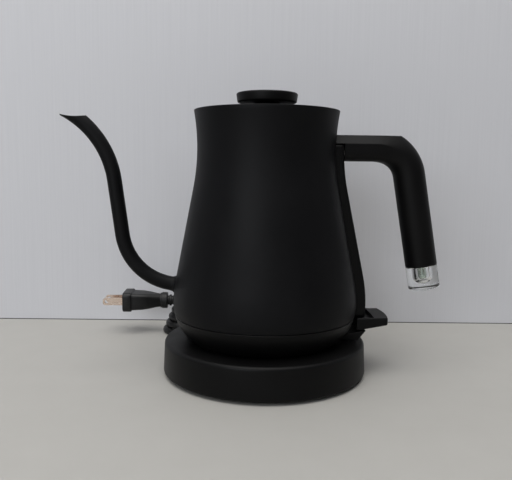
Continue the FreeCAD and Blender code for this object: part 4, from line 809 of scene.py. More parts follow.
def above_tube(rise):
    """The direction square to the tube there, on its upper side."""
    return Vector((math.sin(rise), 0, math.cos(rise)))


ROOT_DIRECTION = along_tube(ROOT_RISE)
NECK_DIRECTION = along_tube(NECK_LEAN)
LOW_CENTRE = BEND_START + above_tube(ROOT_RISE) * LOW_BEND
LOW_END = LOW_CENTRE - above_tube(NECK_LEAN) * LOW_BEND
HIGH_START = LOW_END + NECK_DIRECTION * NECK_STRAIGHT
HIGH_CENTRE = HIGH_START - above_tube(NECK_LEAN) * HIGH_BEND
LIP = HIGH_CENTRE + above_tube(LIP_RISE) * HIGH_BEND
print("lip at", [round(v, 1) for v in LIP], "mm")

# %% Bend the spout
TUBE_POINTS = 48
LOW_BEND_STEPS = 28
STRAIGHT_STEPS = 4
HIGH_BEND_STEPS = 32
LIP_STEPS = 256
# The weld fillet, as distances before the bend and the tube's radius there.
FILLET = ((3.6, 6.3), (2.9, 5.75), (2.2, 5.4), (1.4, 5.15), (0.6, 5.03), (0.0, SPOUT_RADIUS))


def draw_root():
    """A ring at the belly, extruded along the fillet up to the first bend."""
    clear_selection()
    first_back, first_radius = FILLET[0]
    start = (BEND_START - ROOT_DIRECTION * first_back) * MM
    facing = ROOT_DIRECTION.to_track_quat("Z", "Y").to_euler()
    bpy.ops.mesh.primitive_circle_add(
        vertices=TUBE_POINTS, radius=first_radius * MM, location=start, rotation=facing,
    )
    bpy.ops.object.transform_apply(location=True, rotation=True, scale=True)
    piece = take_up("kettle_spout")
    for (before, wide), (after, narrow) in zip(FILLET, FILLET[1:]):
        push(ROOT_DIRECTION * (before - after) * MM)
        spot = (BEND_START - ROOT_DIRECTION * after) * MM
        bpy.ops.transform.resize(value=(narrow / wide,) * 3, center_override=spot)
    return piece


def bend_neck():
    """Carry the ring round the first bend, up the straight and round the second bend."""
    low_turn = NECK_LEAN - ROOT_RISE
    high_turn = NECK_LEAN - END_RISE
    bpy.ops.mesh.spin(steps=LOW_BEND_STEPS, angle=low_turn, center=LOW_CENTRE * MM, axis=(0, -1, 0))
    for _ in range(STRAIGHT_STEPS):
        push(NECK_DIRECTION * NECK_STRAIGHT / STRAIGHT_STEPS * MM)
    bpy.ops.mesh.spin(steps=HIGH_BEND_STEPS, angle=high_turn, center=HIGH_CENTRE * MM, axis=(0, 1, 0))


def give_wall(piece):
    """Cap the ends while the faces are turned outwards, open them again and thicken the skin inwards."""
    bpy.ops.mesh.select_all(action="SELECT")
    bpy.ops.mesh.fill_holes(sides=0)
    close_up(piece)
    bpy.ops.object.mode_set(mode="EDIT")
    bpy.ops.mesh.select_all(action="DESELECT")
    bpy.ops.mesh.select_face_by_sides(number=4, type="GREATER")
    bpy.ops.mesh.delete(type="ONLY_FACE")
    bpy.ops.object.mode_set(mode="OBJECT")
    modify(piece, "SOLIDIFY", thickness=SPOUT_WALL * MM, offset=-1, use_even_offset=True)


def rod(radius, length, spot, facing, steps):
    """A cylinder to cut with."""
    clear_selection()
    bpy.ops.mesh.primitive_cylinder_add(
        vertices=steps, radius=radius * MM, depth=length * MM, location=spot * MM, rotation=facing,
    )
    return bpy.context.object


spout = draw_root()
bend_neck()
give_wall(spout)
hollow_middle = LIP + Vector((0, 0, LIP_HOLLOW))
cut_away(spout, rod(LIP_HOLLOW, 4 * SPOUT_RADIUS, hollow_middle, (math.pi / 2, 0, 0), LIP_STEPS))
ease_edges(spout, width=0.2, segments=2, angle=50)
print("spout:", len(spout.data.polygons), "faces")

# %% Open the body into the spout
DRILL_LENGTH = 14.0
DRILL_BACK = 5.0
DRILL_TURN = math.radians(2)
# The drill is turned a little about its axis, so that none of its edges falls on an edge of the body.
along_root = ROOT_DIRECTION.to_track_quat("Z", "Y").to_matrix() @ Matrix.Rotation(DRILL_TURN, 3, "Z")
drill_middle = BEND_START - ROOT_DIRECTION * DRILL_BACK
for wall in (shell, lining):
    bore = SPOUT_RADIUS - SPOUT_WALL
    cut_away(wall, rod(bore, DRILL_LENGTH, drill_middle, along_root.to_euler(), TUBE_POINTS))
dress(shell, "kettle", "black_coat", "body_shell")
dress(lining, "kettle", "bare_steel")
dress(spout, "kettle", "black_coat", "spout")

# %% [markdown]
# ## The lid
# The lid is a flat coated disc that drops inside the rim, with a plastic knob like a thick coin on a short
# neck. Bevelled cylinders would do, but a turned profile gives each edge its own round, and the small
# rounds are what catches the light. Two more rings on the flat keep the shading of its edge from running
# inwards.

# %% Turn the lid
LID_RADIUS = 47.85
LID_TOP = 180.4
LID_THICK = 2.4
LID_EDGE = 0.5
LID_RINGS = (30.0, 10.0)
lid_under = LID_TOP - LID_THICK
lid = turn("lid_disc", [
    (0, lid_under),
    *arc(LID_RADIUS - LID_EDGE, lid_under + LID_EDGE, LID_EDGE, -90, 0, RIM_STEPS),
    *arc(LID_RADIUS - LID_EDGE, LID_TOP - LID_EDGE, LID_EDGE, 0, 90, RIM_STEPS),
    *[(radius, LID_TOP) for radius in LID_RINGS],
    (0, LID_TOP),
])
dress(lid, "lid", "black_coat", "lid_plate")

# %% Turn the knob
KNOB_TOP = 194.0
KNOB_UNDER = 187.4
KNOB_RADIUS = 21.0
KNOB_FOOT = 20.4
KNOB_EDGE = 1.3
KNOB_NECK = 9.0
KNOB_FILLET = 0.8
fillet_x = KNOB_NECK + KNOB_FILLET
knob = turn("lid_knob_coin", [
    (0, LID_TOP),
    (fillet_x, LID_TOP),
    *arc(fillet_x, LID_TOP + KNOB_FILLET, KNOB_FILLET, -90, -180, 3)[1:],
    (KNOB_NECK, KNOB_UNDER - KNOB_FILLET),
    *arc(fillet_x, KNOB_UNDER - KNOB_FILLET, KNOB_FILLET, 180, 90, 3)[1:],
    *arc(KNOB_FOOT - KNOB_EDGE, KNOB_UNDER + KNOB_EDGE, KNOB_EDGE, -90, 0, 6),
    *arc(KNOB_RADIUS - KNOB_EDGE, KNOB_TOP - KNOB_EDGE, KNOB_EDGE, 0, 90, 6),
    (0, KNOB_TOP),
], steps=128)
dress(knob, "lid", "black_plastic", "lid_knob")

# %% [markdown]
# ## The power base and the kettle's foot
# The base is a low drum, drafted a little so that it leaves its mould, with a soft top edge and a shallow
# seat. The kettle's own bottom is a moulded bowl that carries the body's curve on below a fine seam. Both
# could be cylinders shaped by insets, but they are round and hollow, so a turned profile draws outside and
# inside in one line.

# %% Turn the base housing
BASE_RADIUS = 71.0
BASE_TOP = 24.0
BASE_LIFT = 2.0
BASE_DRAFT = 0.8
BASE_EDGE = 2.6
BASE_HEM = 1.6
BASE_WALL = 2.4
SEAT_HEIGHT = 23.2
SEAT_RADIUS = 53.6
SEAT_SLOPE = 0.7
SEAT_EASE = 0.4
EASE_DROP = 0.1
TURRET_RADIUS = 17.3
top_radius = BASE_RADIUS - BASE_DRAFT
base = turn("base_drum", [
    (BASE_RADIUS - BASE_WALL, BASE_LIFT),
    *arc(BASE_RADIUS - BASE_HEM, BASE_LIFT + BASE_HEM, BASE_HEM, -90, 0, 6),
    *arc(top_radius - BASE_EDGE, BASE_TOP - BASE_EDGE, BASE_EDGE, 0, 90, 10),
    (SEAT_RADIUS + SEAT_SLOPE + SEAT_EASE, BASE_TOP),
    (SEAT_RADIUS + SEAT_SLOPE, BASE_TOP - EASE_DROP),
    (SEAT_RADIUS, SEAT_HEIGHT + EASE_DROP),
    (SEAT_RADIUS - SEAT_EASE, SEAT_HEIGHT),
    (TURRET_RADIUS, SEAT_HEIGHT),
    (TURRET_RADIUS, SEAT_HEIGHT - BASE_WALL),
    (top_radius - BASE_WALL, SEAT_HEIGHT - BASE_WALL),
], BODY_STEPS)
dress(base, "base", "black_plastic", "base_housing")

# %% Turn the kettle's foot
FLOOR_UNDER = 25.4
FLOOR_TOP = 27.4
FOOT_WIDTH = 4.0
FOOT_EASE = 0.3
FOOT_ROUND_IN = 0.6
FOOT_ROUND_UP = 0.4
FOOT_WALL = 2.2
WALL_MIDDLE = 33.0
SEAM_GAP = 0.5
SEAM_EASE = 0.3
SPIGOT_INSET = 1.8
SPIGOT_WALL = 1.6
SPIGOT_TOP = 44.1
SPIGOT_ROOT = 3.0
CONNECTOR_HOLE = 20.1


def bowl_x(height, inset=0.0):
    """Radius of the bowl at a height, set in by a wall."""
    return BELLY_RADIUS - BOWL_ARC + math.sqrt((BOWL_ARC - inset) ** 2 - (BELLY_HEIGHT - height) ** 2)


def bowl_arc(foot, top):
    """The bowl's outside between two heights."""
    ends = [arc_angle(height, BELLY_HEIGHT, BOWL_ARC) for height in (foot, top)]
    return arc(BELLY_RADIUS - BOWL_ARC, BELLY_HEIGHT, BOWL_ARC, *ends, 22)


foot_edge = bowl_x(SEAT_HEIGHT)
foot_inner = foot_edge - FOOT_WIDTH
seam = SEAM_HEIGHT - SEAM_GAP
spigot = bowl_x(SEAM_HEIGHT) - SPIGOT_INSET
kettle_foot = turn("kettle_foot", [
    (foot_inner, SEAT_HEIGHT + FOOT_EASE),
    (foot_inner + FOOT_EASE, SEAT_HEIGHT),
    (foot_edge - FOOT_ROUND_IN, SEAT_HEIGHT),
    *bowl_arc(SEAT_HEIGHT + FOOT_ROUND_UP, seam - SEAM_EASE),
    (bowl_x(seam) - SEAM_EASE, seam),
    (spigot, seam),
    (spigot, SPIGOT_TOP),
    (spigot - SPIGOT_WALL, SPIGOT_TOP),
    (spigot - SPIGOT_WALL, seam - SPIGOT_ROOT),
    (bowl_x(WALL_MIDDLE, FOOT_WALL), WALL_MIDDLE),
    (bowl_x(FLOOR_TOP, FOOT_WALL), FLOOR_TOP),
    (CONNECTOR_HOLE, FLOOR_TOP),
    (CONNECTOR_HOLE, FLOOR_UNDER),
    (foot_inner, FLOOR_UNDER),
], BODY_STEPS)
print("foot radius:", round(foot_edge, 1), "mm")

# %% [markdown]
# ## The switch
# Behind the foot a short moulded fairing carries the rear lever, a paddle that is pressed down to switch
# on. Its top has a pocket, so that it can tip round the end of the handle's spine. A scaled cube has no
# round tip, so the paddle is drawn from above, extruded, sliced by a sloping plane to thin its tip, and
# rounded all over.

# %% Cut the window and add the fairing
PIVOT_X = 56.0
FAIRING_HALF = 15.4
FAIRING_TOP = 32.27
FAIRING_REACH = 69.8
FAIRING_FOOT = 64.03
FAIRING_ROOT = 50.4
LEVER_SLOPE = math.radians(10)
WINDOW_HALF = 9.0
WINDOW_START = 53.0
WINDOW_END = 80.0
WINDOW_TOP = 42.5


def box(name, low, high):
    """A cube primitive scaled to lie between two corners."""
    clear_selection()
    middle = (Vector(low) + Vector(high)) / 2
    size = Vector(high) - Vector(low)
    bpy.ops.mesh.primitive_cube_add(size=1, location=middle * MM, scale=size * MM)
    bpy.ops.object.transform_apply(location=True, rotation=True, scale=True)
    bpy.context.object.name = name
    return bpy.context.object


window_floor = FAIRING_TOP - (FAIRING_REACH - PIVOT_X) * math.tan(LEVER_SLOPE)
window_low = (WINDOW_START, -WINDOW_HALF, window_floor)
cut_away(kettle_foot, box("window", window_low, (WINDOW_END, WINDOW_HALF, WINDOW_TOP)))
fairing = block("switch_fairing", [(x, -FAIRING_HALF, z) for x, z in [
    (FAIRING_ROOT, FLOOR_UNDER),
    (FAIRING_FOOT, FLOOR_UNDER),
    (FAIRING_REACH, FAIRING_TOP),
    (PIVOT_X, window_floor),
    (FAIRING_ROOT, window_floor),
]], 2 * FAIRING_HALF, (0, 1, 0))
ease_edges(fairing, width=0.5)
dress(kettle_foot, "kettle", "black_plastic", "bottom_housing")
dress(fairing, "kettle", "black_plastic", "bottom_housing")

# %% Model the lever
LEVER_HALF = 16.1
LEVER_TOP = 41.2
LEVER_UNDER = 30.0
LEVER_TIP = 86.4
LEVER_INNER = 64.7
TIP_ARC = 70.0
TIP_STEPS = 16
TIP_THICK = 4.8
POCKET_START = 50.0
POCKET_END = 75.5
POCKET_FLOOR = 38.2
POCKET_WALL = 1.6
ABOVE_LEVER = 50.0
STEM_HALF = 8.5
STEM_END = 43.0
STEM_ROOT = 66.0
STEM_THICK = 4.0


def lever_outline():
    """The paddle from above, at its underside's lowest height."""
    tip_turn = math.degrees(math.asin(LEVER_HALF / TIP_ARC))
    inner_turn = math.degrees(math.asin(LEVER_HALF / LEVER_INNER))
    tip = arc(LEVER_TIP - TIP_ARC, 0, TIP_ARC, -tip_turn, tip_turn, TIP_STEPS)
    inner = arc(0, 0, LEVER_INNER, inner_turn, -inner_turn, TIP_STEPS)
    return [(x, y, LEVER_UNDER) for x, y in tip + inner]


def slice_off(piece, spot, outward):
    """Cut off what lies beyond a plane and close the cut."""
    pick(piece)
    bpy.ops.object.mode_set(mode="EDIT")
    bpy.ops.mesh.select_all(action="SELECT")
    bpy.ops.mesh.bisect(plane_co=Vector(spot) * MM, plane_no=outward, use_fill=True, clear_outer=True)
    close_up(piece)


lever = block("lever_paddle", lever_outline(), LEVER_TOP - LEVER_UNDER, (0, 0, 1))
tip_under = (LEVER_TIP, 0, LEVER_TOP - TIP_THICK)
slice_off(lever, tip_under, (math.sin(LEVER_SLOPE), 0, -math.cos(LEVER_SLOPE)))
ease_edges(lever, width=1.0, segments=4)
pocket_half = LEVER_HALF - POCKET_WALL
pocket_low = (POCKET_START, -pocket_half, POCKET_FLOOR)
cut_away(lever, box("pocket", pocket_low, (POCKET_END, pocket_half, ABOVE_LEVER)))
stem_low = (STEM_END, -STEM_HALF, POCKET_FLOOR - STEM_THICK)
stem = box("lever_stem", stem_low, (STEM_ROOT, STEM_HALF, POCKET_FLOOR))
ease_edges(stem, width=0.5, segments=2)
dress(lever, "lever", "black_plastic", "switch_lever")
dress(stem, "lever", "black_plastic", "switch_lever")

# %% [markdown]
# ## The handle
# The handle stands on a moulded spine that follows the body's back. The spine could be bent onto the body,
# but it is drawn from the side, padded to its width and rounded, and the body's own form is cut from it, so
# that it lies on the shell all the way down. The arm is a shouldered bar with a flat top. Round the bend
# its section turns into a plain circle, which is what the hand holds, so a grid is wrapped along sections
# that blend from the one to the other. As photographed, the arm's shoulders run up to the body and the
# spine ends in a notch below them, so the notch and the body are cut from the arm.

# %% Model the spine
SPINE_HALF = 11.0
SPINE_LOW = 6.1
SPINE_TOP = 4.8
SPINE_ROUND = 2.4
SPINE_FOOT = 39.8
SPINE_END = 160.2
SUNK = 6.0
ARM_ROOT = WAIST_RADIUS - SUNK
ARM_BOTTOM = 148.6
MARGIN = 1.0
NEARLY = 0.01


def back_line(foot, top):
    """The spine's back between two heights."""
    line = side_curve(SPINE_LOW, SPINE_TOP, BELLY_HEIGHT - MARGIN, top)
    return [point for point in line if point[1] >= foot]


def round_back(piece):
    """Round the two long edges of the spine's back, and leave its head and foot square."""
    for edge in piece.data.edges:
        ends = [piece.data.vertices[i].co / MM for i in edge.vertices]
        aside = all(abs(abs(v.y) - SPINE_HALF) < NEARLY for v in ends) and ends[0].y * ends[1].y > 0
        inside_run = all(SPINE_FOOT - MARGIN < v.z < ARM_BOTTOM + NEARLY for v in ends)
        edge.select = aside and inside_run and all(v.x > WAIST_RADIUS for v in ends)
    bpy.ops.object.mode_set(mode="EDIT")
    bpy.ops.mesh.select_mode(type="EDGE")
    bpy.ops.mesh.bevel(offset=SPINE_ROUND * MM, segments=5)
    close_up(piece)


def body_form():
    """The body's outside as a solid, to cut from what lies on it."""
    side = side_curve(0, 0, SEAT_HEIGHT, RIM_HEIGHT)
    return turn("body_form", [(0, SEAT_HEIGHT), *side, (0, RIM_HEIGHT)], BODY_STEPS)


spine_head = back_line(ARM_BOTTOM + MARGIN, SPINE_END)
spine = block("handle_spine_strip", [(x, -SPINE_HALF, z) for x, z in [
    (BELLY_RADIUS - SUNK, SPINE_FOOT),
    (BELLY_RADIUS + SPINE_LOW, SPINE_FOOT),
    *back_line(BELLY_HEIGHT, ARM_BOTTOM),
    *spine_head,
    (ARM_ROOT, SPINE_END),
]], 2 * SPINE_HALF, (0, 1, 0))
round_back(spine)
ease_edges(spine, width=0.35, segments=2, angle=50)
cut_away(spine, body_form())
dress(spine, "kettle", "black_plastic", "handle_spine")

# %% Draw the handle's sections
GRIP_RADIUS = 11.0
ARM_CORNER = 6.0
SHOULDER_LEAN = 0.75
BEND_RADIUS = 25.4
BEND_MIDDLE = Vector((74.9, 0, 134.9))
ARM_AXIS = BEND_MIDDLE.z + BEND_RADIUS
SIDE_POINTS = 8
# Where the bar's corners come to lie on the circle, in degrees.
CIRCLE_ANGLES = (-116, -64, -30, 0, 74, 106, 180, 210, 244)


def bar_section():
    """Points round the arm's shouldered section."""
    low = ARM_BOTTOM - ARM_AXIS
    side = low + ARM_CORNER
    flat = GRIP_RADIUS - ARM_CORNER
    crown = GRIP_RADIUS * (1 - SHOULDER_LEAN)
    corners = [
        (-flat, low), (flat, low), (GRIP_RADIUS, side), (GRIP_RADIUS, 0),
        (crown, GRIP_RADIUS), (-crown, GRIP_RADIUS), (-GRIP_RADIUS, 0), (-GRIP_RADIUS, side),
    ]
    round_corners = {1: (flat, -90), 7: (-flat, 180)}
    bar = []
    for i, (first, last) in enumerate(zip(corners, corners[1:] + corners[:1])):
        if i in round_corners:
            x, start = round_corners[i]
            bar += arc(x, side, ARM_CORNER, start, start + 90, SIDE_POINTS)[:-1]
        else:
            bar += [between(first, last, j / SIDE_POINTS) for j in range(SIDE_POINTS)]
    return bar


def round_section():
    """Points of the grip's circle, one for each of the bar's."""
    circle = []
    for start, end in zip(CIRCLE_ANGLES, CIRCLE_ANGLES[1:]):
        circle += arc(0, 0, GRIP_RADIUS, start, end, SIDE_POINTS)[:-1]
    return circle


BAR = bar_section()
CIRCLE = round_section()
print("points round the handle:", len(BAR), len(CIRCLE))

# %% Wrap the grip
ARM_TOP = 166.3
GRIP_LEAN = math.radians(10)
GRIP_LENGTH = 64.2
GRIP_UP = Vector((math.cos(GRIP_LEAN), 0, math.sin(GRIP_LEAN)))
GRIP_DOWN = Vector((math.sin(GRIP_LEAN), 0, -math.cos(GRIP_LEAN)))
GRIP_START = BEND_MIDDLE + GRIP_UP * BEND_RADIUS
GRIP_END = GRIP_START + GRIP_DOWN * GRIP_LENGTH
ARM_STEPS = 4
BEND_STEPS = 24
GRIP_STEPS = 8
BLEND_START = 0.08
BLEND_LENGTH = 0.72


def grip_ring(centre, up, roundness):
    """One section of the handle, between the bar at 0 and the circle at 1."""
    points = [between(flat, curved, roundness) for flat, curved in zip(BAR, CIRCLE)]
    return [centre + Vector((0, y, 0)) + up * rise for y, rise in points]


def grip_rings():
    """Sections along the arm, round the bend and down the grip."""
    rings = []
    for i in range(ARM_STEPS):
        x = ARM_ROOT + (BEND_MIDDLE.x - ARM_ROOT) * i / ARM_STEPS
        rings.append(grip_ring(Vector((x, 0, ARM_AXIS)), Vector((0, 0, 1)), 0))
    for i in range(BEND_STEPS + 1):
        share = i / BEND_STEPS
        angle = share * (math.pi / 2 - GRIP_LEAN)
        up = Vector((math.sin(angle), 0, math.cos(angle)))
        blend = min(1, max(0, (share - BLEND_START) / BLEND_LENGTH))
        eased = blend * blend * (3 - 2 * blend)
        rings.append(grip_ring(BEND_MIDDLE + up * BEND_RADIUS, up, eased))
    for i in range(1, GRIP_STEPS + 1):
        rings.append(grip_ring(GRIP_START + GRIP_DOWN * (GRIP_LENGTH * i / GRIP_STEPS), GRIP_UP, 1))
    return rings


grip = wrap("handle_grip_bar", grip_rings())
slice_off(grip, (0, 0, ARM_TOP), (0, 0, 1))
ease_edges(grip, width=0.5, angle=30)
print("grip ends at", [round(v, 1) for v in GRIP_END], "mm")

# %% Fit the grip to the spine and the body
JOINT_GAP = 0.2
notch_back = [(x + JOINT_GAP, z) for x, z in spine_head]
notch = block("spine_notch", [(x, -2 * SPINE_HALF, z) for x, z in [
    (ARM_ROOT - MARGIN, ARM_BOTTOM - MARGIN),
    (notch_back[0][0], ARM_BOTTOM - MARGIN),
    *notch_back[:-1],
    (notch_back[-1][0], SPINE_END + JOINT_GAP),
    (ARM_ROOT - MARGIN, SPINE_END + JOINT_GAP),
]], 4 * SPINE_HALF, (0, 1, 0))
cut_away(grip, notch, body_form())
dress(grip, "kettle", "black_plastic", "handle_grip")

# %% [markdown]
# ## The lamp
# The grip ends in a clear plug of acrylic with a neon lamp inside, which shows that the kettle is on. Two
# plain cylinders would be solid glass, so both are turned hollow: the lens with a blind bore, and the lamp
# as a thin capsule over two wire electrodes in a dark holder, which CAD gives.

# %% Turn the lens and the lamp
LENS_LENGTH = 16.6
LENS_EDGE = 1.6
LENS_BORE = 4.6
LENS_DEPTH = 12.6
LENS_EASE = 0.3
LENS_GAP = 0.02
LAMP_RADIUS = 3.0
LAMP_LENGTH = 10.0
LAMP_GLASS = 0.6


def set_down(piece, spot, turn_to):
    """Move a piece that was made upright at the origin to its place, and keep the place in its mesh."""
    pick(piece)
    piece.matrix_world = Matrix.Translation(spot * MM) @ turn_to
    bpy.ops.object.transform_apply(location=True, rotation=True, scale=True)


grip_tilt = Matrix.Rotation(-GRIP_LEAN, 4, "Y")
lens = turn("lamp_lens_plug", [
    (0, -LENS_LENGTH),
    *arc(GRIP_RADIUS - LENS_EDGE, LENS_EDGE - LENS_LENGTH, LENS_EDGE, -90, 0, 8),
    (GRIP_RADIUS, -LENS_EASE),
    (GRIP_RADIUS - LENS_EASE, -LENS_GAP),
    (LENS_BORE, -LENS_GAP),
    *arc(0, LENS_BORE - LENS_DEPTH, LENS_BORE, 0, -90, 10),
], steps=96)
set_down(lens, GRIP_END, grip_tilt)
dress(lens, "kettle", "clear_acrylic", "lamp_lens")
glass = turn("neon_capsule", [
    (0, -LAMP_LENGTH),
    *arc(0, LAMP_RADIUS - LAMP_LENGTH, LAMP_RADIUS, -80, 0, 8),
    (LAMP_RADIUS, 0),
    (LAMP_RADIUS - LAMP_GLASS, 0),
    *arc(0, LAMP_RADIUS - LAMP_LENGTH, LAMP_RADIUS - LAMP_GLASS, 0, -90, 8),
], steps=48)
set_down(glass, GRIP_END, grip_tilt)
dress(glass, "kettle", "lamp_glass", "neon_lamp")

# %% [markdown]
# ## What is on the lead
# The gland is a ribbed rubber sleeve. The plug is a flat-sided moulding that narrows to a collar, with a
# ribbed relief behind it and two flat blades in front, which CAD gives. A band ties the hank at its waist.
# The ribs could be a bump, but they show in the outline, so they are turned. The plug changes from a box to
# a cylinder, so it is wrapped along sections like the handle, as low as photographed.

# %% Turn the gland
GLAND_ANGLE = math.radians(45)
GLAND_START = 65.1
GLAND_RADIUS = 6.0
GLAND_NECK = 4.4
NECK_START = 67.5
NECK_END = 71.3
GLAND_EASE = 0.4
NECK_EASE = 0.3
GLAND_RIBS = 73.7
GLAND_SLEEVE = 17.0
RIB_EASE = 0.25


def ribbed(start, length, ribs, first, last, groove):
    """Profile of a tapering ribbed sleeve, with each rib's edges eased."""
    pitch = length / ribs
    outline = ((0, groove), (0.4, groove), (0.5, RIB_EASE), (0.6, 0), (0.9, 0), (1, RIB_EASE))
    points = []
    for i in range(ribs):
        radius = first + (last - first) * i / ribs
        points += [(radius - inset, start + pitch * (i + share)) for share, inset in outline]
    return points


gland = turn("cord_gland_sleeve", [
    (0, GLAND_START),
    (GLAND_RADIUS, GLAND_START),
    (GLAND_RADIUS, NECK_START),
    (GLAND_NECK, NECK_START),
    (GLAND_NECK, NECK_END),
    (GLAND_RADIUS - GLAND_EASE, NECK_END),
    (GLAND_RADIUS, NECK_END + NECK_EASE),
    (GLAND_RADIUS, GLAND_RIBS - GLAND_EASE),
    (GLAND_RADIUS - GLAND_EASE, GLAND_RIBS),
    *ribbed(GLAND_RIBS, GLAND_SLEEVE, ribs=4, first=5.2, last=3.9, groove=0.8),
    (0, GLAND_RIBS + GLAND_SLEEVE),
], steps=64)
along_gland = Matrix.Rotation(GLAND_ANGLE, 4, "Z") @ Matrix.Rotation(math.pi / 2, 4, "Y")
set_down(gland, Vector((0, 0, GLAND_END.z)), along_gland)
dress(gland, "base", "cord_jacket", "cord_gland")

# %% Wrap the plug
PLUG_FACE = Vector((-116.5, HANK_Y, PLUG_TAIL.z))
# Distance from the face, half width, half height and the share of the half height that its corners take.
PLUG_SECTIONS = [
    (0.0, 12.2, 7.5, 0.45), (0.25, 12.75, 8.05, 0.45), (0.9, 13.0, 8.3, 0.45), (6.7, 13.0, 8.3, 0.45),
    (7.25, 12.75, 8.05, 0.45), (7.5, 12.2, 7.5, 0.45), (7.6, 11.6, 7.3, 0.45), (9.5, 11.45, 7.2, 0.45),
    (16.25, 11.05, 7.0, 0.5), (22.0, 9.4, 6.5, 0.6), (27.5, 7.1, 5.9, 0.8), (32.5, 5.6, 5.6, 0.98),
]
CORNER_STEPS = 9


def rounded_box(half_wide, low, high, corner, steps):
    """Points round a box with round corners, from +X towards +Z."""
    right = half_wide - corner
    top = high - corner
    bottom = low + corner
    points = []
    for quarter, (x, z) in enumerate(((right, top), (-right, top), (-right, bottom), (right, bottom))):
        points += arc(x, z, corner, 90 * quarter, 90 * quarter + 90, steps)
    return points


def plug_ring(x, half_wide, half_high, share):
    """One section of the plug, across its axis."""
    outline = rounded_box(half_wide, -half_high, half_high, share * half_high, CORNER_STEPS)
    return [PLUG_FACE + Vector((x, y, z)) for y, z in outline]


plug = wrap("plug_moulding", [plug_ring(*section) for section in PLUG_SECTIONS], smooth_angle=40)
dress(plug, "base", "cord_jacket", "plug_body")

# %% Turn the plug's relief
RELIEF_START = 31.5
COLLAR_START = 32.5
COLLAR_END = 37.5
COLLAR_RADIUS = 7.0
COLLAR_EASE = 0.5
RELIEF_SLEEVE = 27.0
relief = turn("plug_relief_sleeve", [
    (0, RELIEF_START),
    (COLLAR_RADIUS - COLLAR_EASE, RELIEF_START),
    (COLLAR_RADIUS - COLLAR_EASE, COLLAR_START),
    (COLLAR_RADIUS, COLLAR_START + COLLAR_EASE),
    (COLLAR_RADIUS, COLLAR_END - COLLAR_EASE),
    (COLLAR_RADIUS - COLLAR_EASE, COLLAR_END),
    *ribbed(COLLAR_END, RELIEF_SLEEVE, ribs=8, first=4.9, last=3.7, groove=0.9),
    (0, COLLAR_END + RELIEF_SLEEVE),
], steps=64)
set_down(relief, PLUG_FACE, Matrix.Rotation(math.pi / 2, 4, "Y"))
dress(relief, "base", "cord_jacket", "plug_body")

# %% Tie the hank
TIE_WIDTH = 7.0
TIE_THICK = 0.8
TIE_SLACK = 0.3
TIE_BELOW = 0.1
TIE_STEPS = 6
tie_half = WAIST_HALF + CORD_RADIUS + TIE_SLACK
tie_floor = TIE_LIFT - TIE_BELOW
tie_top = 2 * CORD_RADIUS + LAYER_STEP * (LAYERS - 0.5) + TIE_LIFT + TIE_SLACK
tie_line = rounded_box(tie_half, tie_floor, tie_top, CORD_RADIUS, TIE_STEPS)
tie_x = WAIST_X - TIE_WIDTH / 2
tie = trace("hank_tie_band", [Vector((tie_x, HANK_Y + y, z)) * MM for y, z in tie_line + tie_line[:1]])
bpy.ops.mesh.select_all(action="SELECT")
push((TIE_WIDTH * MM, 0, 0))
close_up(tie)
modify(tie, "SOLIDIFY", thickness=TIE_THICK * MM, offset=1)
ease_edges(tie, width=0.2, segments=2)
dress(tie, "base", "cord_jacket", "cord_tie")

# %% [markdown]
# ## The studio
# The kettle stands on a pale table close to a pale wall, under one large soft light from above. What is in
# front of it is dim, so the black body shows a faint broad sheen in the middle and brighter rims where its
# edges graze the wall. One bent sheet could be table and wall, but a dark line of shade runs where they
# meet, so they are planes with a thin strip between. The strip is painted shade: a dark sheet in place of
# the shadow in that crease. A closed room would hide the kettle from behind and from below, so the planes
# are clear from their backs, and the world round them is pale where it is looked at.

# %% Build the table and the wall
STAGE_SIZE = 6.0
WALL_Y = 0.1395
WALL_TURN = math.radians(-2.2)
# Height and set-forward of the painted shade strip at the wall's foot.
SHADE_STRIP_HEIGHT = 0.0007
SHADE_STRIP_AHEAD = 0.0005
UPRIGHT = math.pi / 2


def pale(name, dark, light, stretch, rough):
    """A plain surface with a faint unevenness, which can't be seen from its back."""
    material, tree, shader = new_finish(name)
    tint(tree, shader, noise(tree, stretched_place(tree, stretch), scale=1.0), dark, light)
    shader.inputs["Roughness"].default_value = rough
    from_behind = tree.nodes.new("ShaderNodeNewGeometry").outputs["Backfacing"]
    unseen = tree.nodes.new("ShaderNodeBsdfTransparent").outputs["BSDF"]
    both = add_node(tree, "ShaderNodeMixShader", {0: from_behind, 1: shader.outputs["BSDF"], 2: unseen})
    feed(tree, both.outputs["Shader"], tree.nodes["Material Output"].inputs["Surface"])
    return material


def backdrop(name, middle, tip, depth, finish):
    """A plane whose middle is told from the foot of the wall and turned with the wall."""
    turned = Matrix.Rotation(WALL_TURN, 4, "Z")
    spot = Vector((0, WALL_Y, 0)) + turned @ Vector(middle)
    clear_selection()
    bpy.ops.mesh.primitive_plane_add(size=STAGE_SIZE, location=spot, rotation=(tip, 0, WALL_TURN))
    plane = bpy.context.object
    plane.scale.y = depth / STAGE_SIZE
    plane.name = name
    plane.data.materials.append(finish)


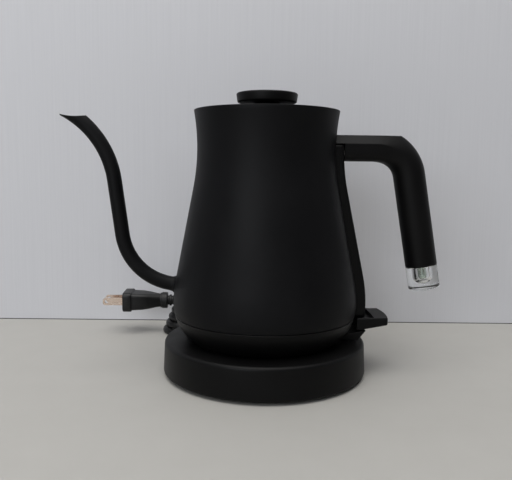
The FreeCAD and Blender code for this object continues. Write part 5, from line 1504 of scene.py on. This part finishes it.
table_top = pale("floor", (0.44, 0.43, 0.405), (0.47, 0.46, 0.435), stretch=(40, 40, 40), rough=0.6)
wall_paint = pale("wall", (0.655, 0.66, 0.695), (0.71, 0.715, 0.75), stretch=(700, 9, 9), rough=0.7)
# The dark strip at the wall's foot is painted shade, standing in for the shadow in the crease between table
# and wall.
join_shade_paint = pale("join_painted_shade", (0.03, 0.03, 0.03), (0.05, 0.05, 0.05), stretch=(40, 40, 40), rough=0.8)
backdrop("floor", (0, 0, 0), 0, STAGE_SIZE, table_top)
backdrop("wall", (0, 0, STAGE_SIZE / 2), UPRIGHT, STAGE_SIZE, wall_paint)
# Painted shade: a thin dark sheet along the crease where table and wall meet.
backdrop("join_painted_shade", (0, -SHADE_STRIP_AHEAD, SHADE_STRIP_HEIGHT / 2), UPRIGHT, SHADE_STRIP_HEIGHT, join_shade_paint)
print("wall", round(WALL_Y / MM, 1), "mm behind the base's middle")

# %% Light it


def soft_light(name, spot, target, width, power, colour):
    """A square area light that looks at a point."""
    facing = (Vector(target) - Vector(spot)).to_track_quat("-Z", "Y").to_euler()
    bpy.ops.object.light_add(type="AREA", location=spot, rotation=facing)
    lamp = bpy.context.object
    lamp.name = name
    lamp.data.size = width
    lamp.data.energy = power
    lamp.data.color = colour
    print(name, "light,", power, "W")


soft_light("ceiling", (-0.15, -0.40, 1.6), (0, 0, 0.05), width=1.6, power=26.5, colour=(1.0, 0.99, 0.97))
soft_light("front", (-0.80, -1.5, 0.7), (0, 0, 0.1), width=0.9, power=9.5, colour=(0.93, 0.96, 1.0))

# %% Make the room
ROOM_LIGHT = (0.03, 0.03, 0.031, 1)
ROOM_AHEAD = (0.18, 0.18, 0.185, 1)
ROOM_BEHIND = (0.36, 0.36, 0.37, 1)


def make_room():
    """A dim room, pale where it is looked at, and less so in front of the kettle."""
    world = bpy.data.worlds.new("room")
    world.use_nodes = True
    tree = world.node_tree
    way = tree.nodes.new("ShaderNodeTexCoord").outputs["Generated"]
    back = add_node(tree, "ShaderNodeSeparateXYZ", {"Vector": way}).outputs["Y"]
    tone = mixed(tree, spread(tree, back, low=-0.5, high=0.7), ROOM_AHEAD, ROOM_BEHIND)
    rays = tree.nodes.new("ShaderNodeLightPath").outputs
    seen = calculate(tree, "MAXIMUM", rays["Is Camera Ray"], rays["Is Glossy Ray"])
    seen = calculate(tree, "MAXIMUM", seen, rays["Is Transmission Ray"])
    background = tree.nodes["Background"]
    feed(tree, mixed(tree, seen, ROOM_LIGHT, tone), background.inputs["Color"])
    background.inputs["Strength"].default_value = 1.0
    bpy.context.scene.world = world


make_room()
bpy.context.scene.view_settings.view_transform = "Standard"
print("world:", bpy.context.scene.world.name)
